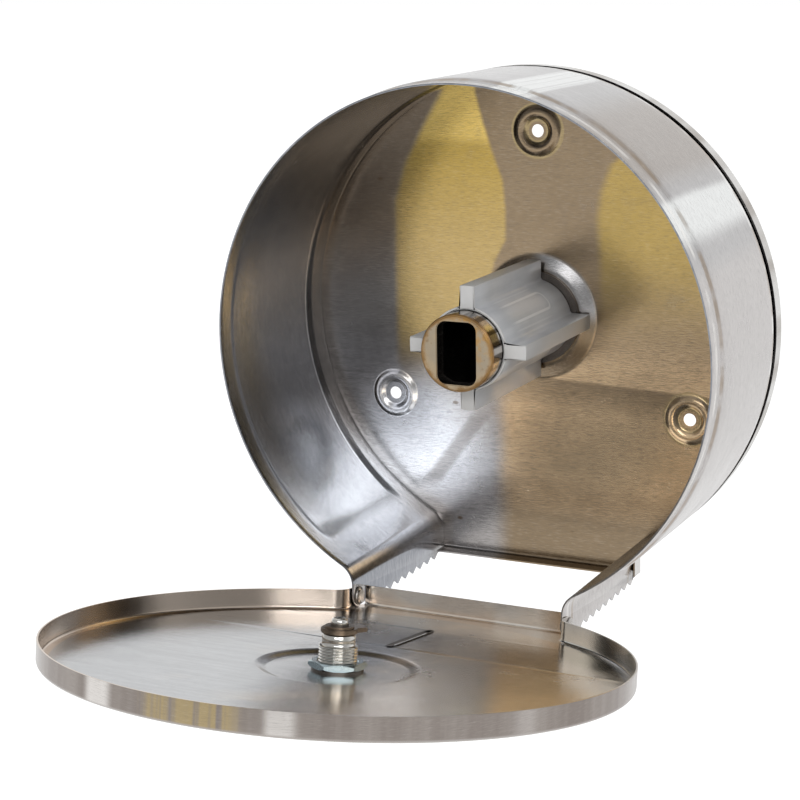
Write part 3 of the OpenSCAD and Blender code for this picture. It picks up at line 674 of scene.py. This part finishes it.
def wallStops():
    s = wallSizes
    steps = s["joggleSteps"]
    rear = [s["rearBand"] + s["joggle"] * k / steps for k in range(steps + 1)]
    front = [s["frontBand"] - s["joggle"] * (steps - k) / steps for k in range(steps + 1)]
    return s["rearStops"] + rear + s["midStops"] + front + s["frontStops"]


def wingEdge():  # the wing's lower outline as (h, z), from the front edge back to the wall
    s = wallSizes
    tip = bendZ - drum["wing"]
    corner, root = hinge["wingRound"], s["rootRadius"]
    points = [(hinge["h"] + corner, bendZ - s["wingCorner"])]
    for a in quarterTurn(8):
        points.append((hinge["h"] + corner * math.cos(a), hinge["z"] - corner * math.sin(a)))
    rise = s["toothDepth"] - root
    half = s["toothPitch"] / 2
    lean = math.atan2(rise, half) + math.asin(root / math.hypot(half, rise))  # of a flank, from level
    for k in range(s["teeth"], -1, -1):
        mid = s["firstTooth"] + (k - 0.5) * s["toothPitch"]
        first, last = 0, 8
        if k == s["teeth"]:  # half a root beside the hinge
            points.append((mid, hinge["z"] - corner))
            first = 4
        if k == 0:
            last = 4
        for j in range(first, last + 1):
            a = math.pi / 2 + lean * (j / 4 - 1)
            points.append((mid + root * math.cos(a), tip + rise + root * math.sin(a)))
        if k > 0:
            points += [(mid - half + side, tip + up) for side, up in s["toothTip"]]
    points.append((drum["sheet"], tip + s["toothDepth"]))
    return points


def makeDrumWall():
    s = wallSizes
    stops = wallStops()
    low = bendZ - s["overlap"]

    def profile(p):
        side = abs(math.degrees(math.atan2(p[0], -p[1])))
        fade = 0.0
        if p[1] > bendZ + s["fadeAbove"]:
            fade = ease((side - s["fadeFrom"]) / (s["fadeTo"] - s["fadeFrom"]))
        return [(bulgeAt(h) * fade, h) for h in stops]

    parts = [sweep(casePath(low), profile)]
    loop = [(h, low) for h in stops] + wingEdge()
    tris = tessellate_polygon([[Vector((h, z, 0)) for h, z in loop]])
    for side in (-1, 1):
        x = side * drum["mouthHalf"]
        parts.append(([place(x, h, z) for h, z in loop], [tuple(t) for t in tris]))
    obj = newObject("drumWall", *combine(parts), drumSteel.material, "case")
    weld(obj, flip=lambda c: Vector((c.x, 0, c.z)))
    return makeSheet(obj, drumInside)


drumWall = makeDrumWall()
print("drum wall made")

# the wall pan and the cover: flat sheets with a lip bent up all round
lipSizes = {"flat": 0.6, "rows": 5, "bendRows": 6, "cornerIn": 0.6, "cornerUp": 0.8, "cornerRun": 1.4,
            "flangeGap": 0.2, "pressCount": 96}
panSizes = {"face": 0.0, "way": 1, "edge": 10.0, "bottom": bendZ - 9.6, "bend": 2.0, "flange": 53.6,
            "seatCircle": 93.5, "seatFoot": 13.1, "seatTop": 9.6, "seatIn": 8.9, "seatFloor": 5.6,
            "hole": 3.25, "seatRise": 1.6, "crown": 0.02,
            "boss": [(32.4, 0.0), (31.8, 0.03), (31.2, 0.15), (30.6, 0.36), (28.6, 1.12), (26.6, 1.88),
                     (25.6, 2.23), (25.0, 2.40), (24.3, 2.48), (23.6, 2.5), (14.0, 2.5), (0.02, 2.5)]}
coverSizes = {"face": coverIn + drum["sheet"], "way": -1, "edge": coverIn - hinge["lipDepth"],
              "bottom": hinge["z"] - 7.8, "bend": 2.2, "flange": 53.9, "boss": 36.0, "bossSlope": 6.0,
              "bossRise": hinge["bossRise"], "bossFlat": (20.0, 8.5), "slotMiddle": -72.0, "slotLength": 45.0,
              "slotWidth": 2.6, "slotPoint": 3.0, "slotEnd": 0.5, "slotBlunt": 0.6, "slotLip": 0.45}


def wave(low, high, start, end, steps):  # a smooth step in a profile, from radius low to high
    shares = [k / steps for k in range(1, steps + 1)]
    return [(low + (high - low) * share, start + (end - start) * ease(share)) for share in shares]


def bent(s):  # the round of a lip: how far out, and the height
    turns = quarterTurn(lipSizes["bendRows"])
    return [(s["bend"] * math.sin(a), s["face"] + s["way"] * s["bend"] * (1 - math.cos(a))) for a in turns]


def sheetPan(s, presses, holes, tail=None):  # outer skin of a lipped sheet; presses are (x, z, profile)
    face, bend, b, f = s["face"], s["bend"], s["bottom"], s["flange"]
    flat = bend + lipSizes["flat"]  # the flat face starts this far in from the lip
    inset = lipOut - flat
    path = casePath(b if tail is None else tail)

    def profile(p):
        rows = [(inset, face)] + [(lipOut - bend + out, h) for out, h in bent(s)]
        edge = s["edge"]
        if tail is not None and p[1] < hinge["z"]:  # the lip's end is rounded round the hinge
            drop = hinge["z"] - p[1]
            edge = hinge["h"] - math.sqrt(max(0.0, hinge["tail"] ** 2 - drop**2))
        start, count = face + s["way"] * bend, lipSizes["rows"]
        return rows + [(lipOut, start + (edge - start) * k / count) for k in range(1, count + 1)]

    parts = [sweep(path, profile)]
    outer = [(p[0] + p[2] * inset, p[1] + p[3] * inset) for p in path]
    if tail is None:
        left = [(f + lipSizes["flangeGap"], b)]
    else:
        w = drum["mouthHalf"] + lipOut
        side = w - lipSizes["cornerIn"]
        left = [(side, outer[-1][1]), (side, b + lipSizes["cornerUp"]), (w - lipSizes["cornerRun"], b)]
    left += [(f, b), (f, b + flat)]
    loops = [outer + left + [(-x, z) for x, z in reversed(left)]]
    for x, z, rows in presses:
        loops.append(ring(rows[0][0], lipSizes["pressCount"], x, z))
        parts.append(revolve(rows, lipSizes["pressCount"], x, z))
    parts.append(flatFill(loops + holes, face))
    rows = [(b + flat, face)] + [(b + bend - out, h) for out, h in bent(s)] + [(b, s["edge"])]
    verts = [place(x, h, z) for x in (-f, f) for z, h in rows]
    n = len(rows)
    parts.append((verts, [(j, j + 1, j + 1 + n, j + n) for j in range(n - 1)]))
    return combine(parts)


def makeWallPan():
    s = panSizes
    rise, crown = s["seatRise"], s["seatRise"] + s["crown"]
    seat = [(s["seatFoot"], 0.0)] + wave(s["seatFoot"], s["seatTop"], 0.0, rise, 8)
    seat += wave(s["seatTop"], s["seatIn"], rise, crown, 2)
    seat += wave(s["seatIn"], s["seatFloor"], crown, 0.0, 8) + [(s["hole"], 0.0)]
    turns = [math.radians(90 + 120 * k) for k in range(3)]
    presses = [(s["seatCircle"] * math.cos(a), s["seatCircle"] * math.sin(a), seat) for a in turns]
    presses.append((0.0, 0.0, s["boss"]))
    obj = newObject("wallPan", *sheetPan(s, presses, []), lipSteel.material, "case")
    weld(obj, flip=lambda c: Vector((c.x * 0.2, 1.0, c.z * 0.2)))
    makeSheet(obj, panSteel)
    keepFlat(obj)
    return obj


def makeCover():
    s = coverSizes
    face, top = s["face"], s["face"] + s["bossRise"]
    boss = [(s["boss"], face)] + wave(s["boss"], s["boss"] - s["bossSlope"], face, top, 8)
    boss += [(r, top) for r in s["bossFlat"]]
    half, w, end = s["slotLength"] / 2, s["slotWidth"] / 2, s["slotEnd"]
    long, short = half - s["slotBlunt"], half - s["slotPoint"]
    right = [(end, long), (w, short), (w, -short), (end, -long)]
    slot = [(x, z + s["slotMiddle"]) for x, z in right + [(-x, -z) for x, z in right]]
    n = len(slot)
    shell = sheetPan(s, [(0.0, 0.0, boss)], [slot], tail=hinge["z"] - hinge["tail"])
    turnedIn = face - drum["sheet"] - s["slotLip"]
    lip = [place(x, h, z) for h in (face, turnedIn) for x, z in slot]  # the slot's edges
    obj = newObject("coverShell", *combine([shell, (lip, ringQuads(2, n))]), rimSteel.material, "cover")
    weld(obj, flip=lambda c: Vector((c.x * 0.2, -1.0, c.z * 0.2)))
    makeSheet(obj, coverSteel)
    for v in obj.data.vertices:
        v.co = openCover(v.co)
    obj.data.update()
    keepFlat(obj)
    return obj


wallPan = makeWallPan()
coverShell = makeCover()
print("wall pan and cover made")


def softened(name, body, finish, width):  # a copy of a plain part, with its edges broken
    bm = bmesh.new()
    bm.from_mesh(nodes[name].data)
    bmesh.ops.remove_doubles(bm, verts=bm.verts, dist=1e-6)
    bmesh.ops.dissolve_limit(bm, angle_limit=math.radians(1), verts=bm.verts, edges=bm.edges)
    sharp = [e for e in bm.edges if len(e.link_faces) == 2 and e.calc_face_angle(0.0) > math.radians(30)]
    bmesh.ops.bevel(bm, geom=sharp, offset=width * mm, segments=2, affect="EDGES", clamp_overlap=True)
    obj = newObject(name + "Soft", [], [], finish.material, body)
    bm.to_mesh(obj.data)
    bm.free()
    return settle(obj)


def repeatTree():  # copies a piece along a line, turning each one a step further
    tree = bpy.data.node_groups.new("repeatPiece", "GeometryNodeTree")
    tree.is_modifier = True
    kinds = {"Geometry": "Geometry", "Count": "Int", "Start": "Vector", "Step": "Vector", "Turn": "Vector",
             "Join": "Float", "Material": "Material"}
    for name, kind in kinds.items():
        tree.interface.new_socket(name, in_out="INPUT", socket_type="NodeSocket" + kind)
    tree.interface.new_socket("Geometry", in_out="OUTPUT", socket_type="NodeSocketGeometry")
    new, link = tree.nodes.new, tree.links.new
    given = new("NodeGroupInput")
    line = new("GeometryNodeMeshLine")
    line.mode = "OFFSET"
    index = new("GeometryNodeInputIndex")
    turn = new("ShaderNodeVectorMath")
    turn.operation = "SCALE"
    copies = new("GeometryNodeInstanceOnPoints")
    real = new("GeometryNodeRealizeInstances")
    join = new("GeometryNodeMergeByDistance")
    paint = new("GeometryNodeSetMaterial")
    out = new("NodeGroupOutput")
    link(given.outputs["Count"], line.inputs["Count"])
    link(given.outputs["Start"], line.inputs["Start Location"])
    link(given.outputs["Step"], line.inputs["Offset"])
    link(given.outputs["Turn"], turn.inputs[0])
    link(index.outputs[0], turn.inputs["Scale"])
    link(line.outputs["Mesh"], copies.inputs["Points"])
    link(given.outputs["Geometry"], copies.inputs["Instance"])
    link(turn.outputs[0], copies.inputs["Rotation"])
    link(copies.outputs[0], real.inputs[0])
    link(real.outputs[0], join.inputs["Geometry"])
    link(given.outputs["Join"], join.inputs["Distance"])
    link(join.outputs[0], paint.inputs["Geometry"])
    link(given.outputs["Material"], paint.inputs["Material"])
    link(paint.outputs[0], out.inputs[0])
    return tree


repeatPiece = repeatTree()


def repeated(obj, count, start, step, turn, join=0.0):  # a piece and its copies as one plain mesh
    mod = obj.modifiers.new("repeat", "NODES")
    mod.node_group = repeatPiece
    values = {"Count": count, "Start": start, "Step": step, "Turn": turn, "Join": join,
              "Material": obj.data.materials[0]}
    for item in repeatPiece.interface.items_tree:
        if item.in_out == "INPUT" and item.name in values:
            mod[item.identifier] = values[item.name]
    graph = bpy.context.evaluated_depsgraph_get()
    mesh = bpy.data.meshes.new_from_object(obj.evaluated_get(graph), depsgraph=graph)
    obj.modifiers.clear()
    obj.data = mesh
    return settle(obj)


sleeveSizes = {"bore": 18.9, "tube": 20.0, "fin": 30.0, "finHalf": 3.7, "root": 1.6, "back": 5.1,
               "front": 88.0, "edge": 0.45, "edgeNear": 0.3, "edgeFar": 0.8, "boreEdge": 0.2, "boreStep": 0.3,
               "middle": (30.0, 60.0), "tipSteps": 5, "rootSteps": 8, "tubeSteps": 10}


def outlineBody(loop, depths):  # an open section carried along y through (h, inset) rows
    n = len(loop)
    verts = [place(x - nx * inset, h, z - nz * inset) for h, inset in depths for x, z, nx, nz in loop]
    firsts = [r * n + i for r in range(len(depths) - 1) for i in range(n - 1)]
    return verts, [(k, k + 1, k + n + 1, k + n) for k in firsts]


def facing(points):  # each point of an outline with its outward direction; the ends look straight out
    rows = []
    for i, (x, z) in enumerate(points):
        a, b = points[max(0, i - 1)], points[min(len(points) - 1, i + 1)]
        dx, dz = b[0] - a[0], b[1] - a[1]
        size = math.hypot(dx, dz)
        rows.append((x, z, -dz / size, dx / size))
    for i in (0, -1):
        x, z = points[i]
        rows[i] = (x, z, x / math.hypot(x, z), z / math.hypot(x, z))
    return rows


def sleeveOutline():  # one quarter of the sleeve's outside, with a fin in its middle
    s = sleeveSizes
    tip = math.asin(s["finHalf"] / s["fin"])
    turns = [tip * k / s["tipSteps"] for k in range(s["tipSteps"])]
    half = [(s["fin"] * math.sin(a), s["fin"] * math.cos(a)) for a in turns]
    finEnd = s["fin"] * math.cos(tip)
    half.append((s["finHalf"] - s["edge"] * s["edgeNear"], finEnd))
    half.append((s["finHalf"], finEnd - s["edge"] * s["edgeFar"]))
    cx = s["finHalf"] + s["root"]
    cz = math.sqrt((s["tube"] + s["root"]) ** 2 - cx**2)
    meet = math.atan2(cx, cz)
    for k in range(s["rootSteps"] + 1):  # the round between fin and tube
        a = math.pi + (math.pi / 2 - meet) * k / s["rootSteps"]
        half.append((cx + s["root"] * math.cos(a), cz + s["root"] * math.sin(a)))
    for k in range(1, s["tubeSteps"] + 1):
        a = meet + (math.pi / 4 - meet) * k / s["tubeSteps"]
        half.append((s["tube"] * math.sin(a), s["tube"] * math.cos(a)))
    return [(-x, z) for x, z in reversed(half[1:])] + half


def makeSleeve():
    s = sleeveSizes
    back, front, e = s["back"], s["front"], s["edge"]
    outer = facing(sleeveOutline())
    n = len(outer)
    turns = [math.pi / 4 - math.pi / 2 * k / (n - 1) for k in range(n)]
    inner = [(s["bore"] * math.sin(a), s["bore"] * math.cos(a), -math.sin(a), -math.cos(a)) for a in turns]
    near = e * s["edgeNear"]
    rows = [(back, e), (back + near, near), (back + e, 0.0)] + [(h, 0.0) for h in s["middle"]]
    rows += [(front - e, 0.0), (front - near, near), (front, e)]
    step, edge = s["boreStep"], s["boreEdge"]
    boreRows = [(front, -edge), (front - step, 0.0), (back + step, 0.0), (back, -edge)]
    parts = [outlineBody(outer, rows), outlineBody(inner, boreRows)]
    wider = 1 + edge / s["bore"]
    for h in (front, back):
        a = [place(x - nx * e, h, z - nz * e) for x, z, nx, nz in outer]
        b = [place(x * wider, h, z * wider) for x, z, _, _ in reversed(inner)]
        parts.append((a + b, [(i, i + 1, n + i + 1, n + i) for i in range(n - 1)]))
    obj = newObject("coreSleeve", *combine(parts), sleeveGrey.material, "sleeve")
    weld(obj)
    return repeated(obj, 4, (0, 0, 0), (0, 0, 0), (0, math.pi / 2, 0), 0.00003)


coreSleeve = makeSleeve()

# the lock: everything is a height over the cover's inside face
lockSizes = {"thread": 8.4, "pitch": 1.25, "cut": 0.55, "crest": 1.15, "threadTop": 11.0, "threadEnd": 0.5,
             "threadStop": 0.2, "threadRows": 100, "runOut": 0.3, "neck": 7.2, "neckMiddle": 13.0,
             "neckTop": 15.8, "neckFoot": 0.15, "neckEdge": 0.5, "head": 10.0, "headTop": -0.8,
             "headLow": -3.2, "headRound": ((0.9, 0.0), (0.2, 0.5), (0.0, 1.1)), "headEdge": 0.15,
             "bore": 5.3, "boreLow": 0.4, "boreTop": (0.2, 0.3), "step": 0.05, "count": 96}
nutSizes = {"across": 22.0, "low": 1.0, "top": 4.0, "bore": 8.5, "boreTop": 9.0, "step": 0.5,
            "round": 1.015, "slope": 0.55, "edge": 0.08, "inset": 0.1, "count": 120}


def turned(spot, rings, count):  # closed rings round the lock's axis; spot(ring, angle) is (radius, height)
    verts = []
    for j in range(rings):
        for k in range(count):
            a = 2 * math.pi * k / count
            r, z = spot(j, a)
            verts.append(onLock(r * math.cos(a), r * math.sin(a), z))
    return verts, ringQuads(rings, count, closed=True)


def makeBarrel():
    s = lockSizes
    bore, head, thread, neck = s["bore"], s["head"], s["thread"], s["neck"]
    low, headTop, top, neckTop = s["headLow"], s["headTop"], s["threadTop"], s["neckTop"]
    rows = [(bore, low + s["boreLow"]), (bore + s["boreLow"], low)]
    rows += [(head - inward, low + up) for inward, up in s["headRound"]]
    rows += [(head, headTop - s["headEdge"]), (head - s["headEdge"], headTop), (thread + s["step"], headTop)]
    length, count = top - s["threadStop"] - headTop, s["threadRows"]
    rows += [(thread, headTop + length * k / count) for k in range(1, count + 1)]
    rows += [(thread - s["threadEnd"], top), (neck + s["neckFoot"], top + s["step"])]
    rows += [(neck, top + s["runOut"]), (neck, s["neckMiddle"])]
    rows += [(neck, neckTop - s["neckEdge"]), (neck - s["neckEdge"], neckTop)]
    inward, down = s["boreTop"]
    rows += [(bore + inward, neckTop), (bore, neckTop - down)]

    def spot(j, a):
        r, z = rows[j]
        if r != thread or z > top - s["runOut"]:
            return r, z
        phase = (z / s["pitch"] - a / (2 * math.pi)) % 1.0
        return r - s["cut"] * ease(abs(phase * 2 - 1) * s["crest"]), z

    obj = newObject("lockBarrel", *turned(spot, len(rows), s["count"]), nickel.material, "cover")
    weld(obj)
    return settle(obj, 50)


def makeNut():
    s = nutSizes
    half, low, top = s["across"] / 2, s["low"], s["top"]
    flatR = half * s["round"]

    def spot(j, a):
        r = half / math.cos((a + math.pi / 6) % (math.pi / 3) - math.pi / 6)
        drop = max(0.0, r - flatR) * s["slope"]
        face = min(r, flatR) - s["inset"]
        side = s["edge"] + drop
        return [(s["bore"], low), (face, low), (r, low + side), (r, top - side), (face, top),
                (s["boreTop"], top), (s["bore"], top - s["step"])][j]

    obj = newObject("lockNut", *turned(spot, 7, s["count"]), zinc.material, "cover")
    weld(obj)
    return settle(obj, 20)


lockBarrel = makeBarrel()
lockNut = makeNut()

# the hinge: domed rivets, one each side
rivetSizes = {"wingIn": drum["mouthHalf"] - drum["sheet"], "washer": 0.6, "head": 3.75, "rise": 1.2,
              "pin": 2.0, "outer": 2.3, "centre": 0.02, "count": 40}


def makeRivets():
    s = rivetSizes
    inner, outer, rise, count = -s["washer"], s["outer"], s["rise"], s["count"]
    dome = [(s["head"] * math.sin(a), rise * math.cos(a)) for a in quarterTurn(8, first=1)]
    rows = [(s["centre"], inner - rise)] + [(r, inner - up) for r, up in dome] + [(s["pin"], inner)]
    rows += [(s["pin"], outer)] + [(r, outer + up) for r, up in reversed(dome)]
    rows.append((s["centre"], outer + rise))
    verts = [Vector((x * mm, y * mm, z * mm)) for r, x in rows for y, z in ring(r, count, 0.0, 0.0)]
    faces = ringQuads(len(rows), count)
    faces += [tuple(range(count)), tuple(range(len(verts) - count, len(verts)))]
    obj = newObject("hingeRivets", verts, faces, rivetSteel.material, "case")
    weld(obj)
    x = s["wingIn"] * mm
    return repeated(obj, 2, (x, -hinge["h"] * mm, hinge["z"] * mm), (-2 * x, 0, 0), (0, 0, math.pi))


hingeRivets = makeRivets()
print("sleeve, lock and rivets made")

# each piece: its mesh, the node it stands for, and its material slot
pieces = [(drumWall, "drum_wall", "drum_steel"), (wallPan, "back_plate", "pan_steel"),
          (coverShell, "cover_panel", "cover_steel"), (coreSleeve, "core_sleeve", "sleeve_metal"),
          (lockBarrel, "lock_barrel", "nickel"), (lockNut, "lock_nut", "zinc"),
          (hingeRivets, "hinge_rivets", "rivet_steel")]

# plain pieces: the body each rides, its finish, the width of its broken edges, and its slot
soft = {"spindle_flange": ("case", innerSteel, 0.2, "spindle_steel"),
        "spindle_end_cap": ("case", endPlate, 0.35, "cap_plate"),
        "lock_catch_plate": ("case", shadedTubeSteel, 0.1, "catch_steel"),
        "hinge_washers": ("case", darkSteel, 0.08, "dark_washer"),
        "lock_washer": ("cover", darkSteel, 0.12, "dark_washer"),
        "lock_plug": ("lock_core", plugBrass, 0.08, "plug_brass"),
        "lock_cam": ("lock_core", bronze, 0.3, "bronze_cam"),
        "cam_washer": ("lock_core", bronze, 0.2, "bronze_cam"),
        "cam_split_washer": ("lock_core", darkSteel, 0.15, "rivet_steel"),
        "cam_screw": ("lock_core", nickel, 0.12, "nickel")}
for name, (body, finish, width, slot) in soft.items():
    pieces.append((softened(name, body, finish, width), name, slot))
for obj, name, slot in pieces:
    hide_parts(name)
    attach(obj, obj["rides"])
for name, finish in {"spindle_tube": shadedTubeSteel, "lock_wafers": plugBrass, "wafer_springs": nickel}.items():
    mesh = nodes[name].data
    mesh.materials.clear()
    mesh.materials.append(finish.material)
print("pieces set on their bodies")

stageSizes = {"floorZ": -0.40, "floorSize": 12.0, "floorTone": 0.90, "lift": 0.5}
skySizes = {"from": -0.25, "to": 0.80, "low": 0.50, "high": 1.0}  # how strong the world is, front to back
lampSizes = {"window": {"spot": (0.40, -1.95, 1.0), "aim": (0, 0, -0.05), "size": (1.1, 0.5), "power": 5.6},
             "side": {"spot": (1.5, -1.7, 1.1), "aim": (0.05, -0.05, 0), "size": (1.1, 1.1), "power": 13.0}}
viewSizes = {"lens": 2074.27, "frame": 800, "sensor": 36.0, "near": 0.05, "far": 50.0,
             "spot": (0.39332, -0.95784, 0.19838), "right": (0.898452, 0.438766, -0.016345),
             "down": (0.085418, -0.211182, -0.973707), "ahead": (-0.430682, 0.873434, -0.227216)}


def makeStage():  # a pale floor that the camera sees a little brighter, and that glows in reflections
    mesh = bpy.data.meshes.new("floor")
    s, z = stageSizes["floorSize"], stageSizes["floorZ"]
    mesh.from_pydata([(-s, -s, z), (s, -s, z), (s, s, z), (-s, s, z)], [], [(0, 1, 2, 3)])
    floor = bpy.data.objects.new("floor", mesh)
    bpy.context.scene.collection.objects.link(floor)
    pale = bpy.data.materials.new("paleFloor")
    pale.use_nodes = True
    tree = pale.node_tree
    tree.nodes.clear()
    new, link = tree.nodes.new, tree.links.new
    out, path, mix = new("ShaderNodeOutputMaterial"), new("ShaderNodeLightPath"), new("ShaderNodeMixShader")
    matt, glow, lift = new("ShaderNodeBsdfDiffuse"), new("ShaderNodeEmission"), new("ShaderNodeEmission")
    seen, both = new("ShaderNodeMath"), new("ShaderNodeAddShader")
    matt.inputs["Color"].default_value = (*[stageSizes["floorTone"]] * 3, 1)
    seen.operation = "MULTIPLY"
    seen.inputs[1].default_value = stageSizes["lift"]
    link(path.outputs["Is Camera Ray"], seen.inputs[0])
    link(seen.outputs[0], lift.inputs["Strength"])
    link(matt.outputs[0], both.inputs[0])
    link(lift.outputs[0], both.inputs[1])
    link(path.outputs["Is Glossy Ray"], mix.inputs[0])
    link(both.outputs[0], mix.inputs[1])
    link(glow.outputs[0], mix.inputs[2])
    link(mix.outputs[0], out.inputs[0])
    mesh.materials.append(pale)


def makeLight():
    world = bpy.data.worlds.new("studio")
    bpy.context.scene.world = world
    world.use_nodes = True
    tree = world.node_tree
    tree.nodes.clear()
    new, link = tree.nodes.new, tree.links.new
    out, back = new("ShaderNodeOutputWorld"), new("ShaderNodeBackground")
    at, split = new("ShaderNodeTexCoord"), new("ShaderNodeSeparateXYZ")
    ramp = new("ShaderNodeMapRange")  # darker towards the viewer's side, pale behind the object
    ramp.interpolation_type = "SMOOTHSTEP"
    for socket, key in enumerate(("from", "to", "low", "high"), 1):
        ramp.inputs[socket].default_value = skySizes[key]
    path, white = new("ShaderNodeLightPath"), new("ShaderNodeMix")  # plain white to the camera
    link(at.outputs["Generated"], split.inputs[0])
    link(split.outputs[1], ramp.inputs[0])
    link(path.outputs["Is Camera Ray"], white.inputs[0])
    link(ramp.outputs[0], white.inputs[2])
    white.inputs[3].default_value = 1.0
    link(white.outputs[0], back.inputs["Strength"])
    link(back.outputs[0], out.inputs[0])
    back.inputs["Color"].default_value = (1, 1, 1, 1)
    for name, s in lampSizes.items():
        lamp = bpy.data.lights.new(name, "AREA")
        lamp.shape = "RECTANGLE"
        lamp.size, lamp.size_y = s["size"]
        lamp.energy = s["power"]
        obj = bpy.data.objects.new(name, lamp)
        obj.location = s["spot"]
        obj.rotation_euler = (Vector(s["aim"]) - Vector(s["spot"])).to_track_quat("-Z", "Y").to_euler()
        bpy.context.scene.collection.objects.link(obj)


def makeCamera():
    s = viewSizes
    cam = bpy.data.cameras.new("view")
    cam.sensor_width = s["sensor"]
    cam.lens = s["lens"] / s["frame"] * s["sensor"]
    cam.clip_start, cam.clip_end = s["near"], s["far"]
    obj = bpy.data.objects.new("view", cam)
    turn = Matrix((Vector(s["right"]), -Vector(s["down"]), -Vector(s["ahead"]))).transposed().to_4x4()
    obj.matrix_world = Matrix.Translation(s["spot"]) @ turn
    bpy.context.scene.collection.objects.link(obj)
    bpy.context.scene.camera = obj


makeStage()
makeLight()
makeCamera()
bpy.context.scene.view_settings.view_transform = "Standard"
print("stage, light and camera set")
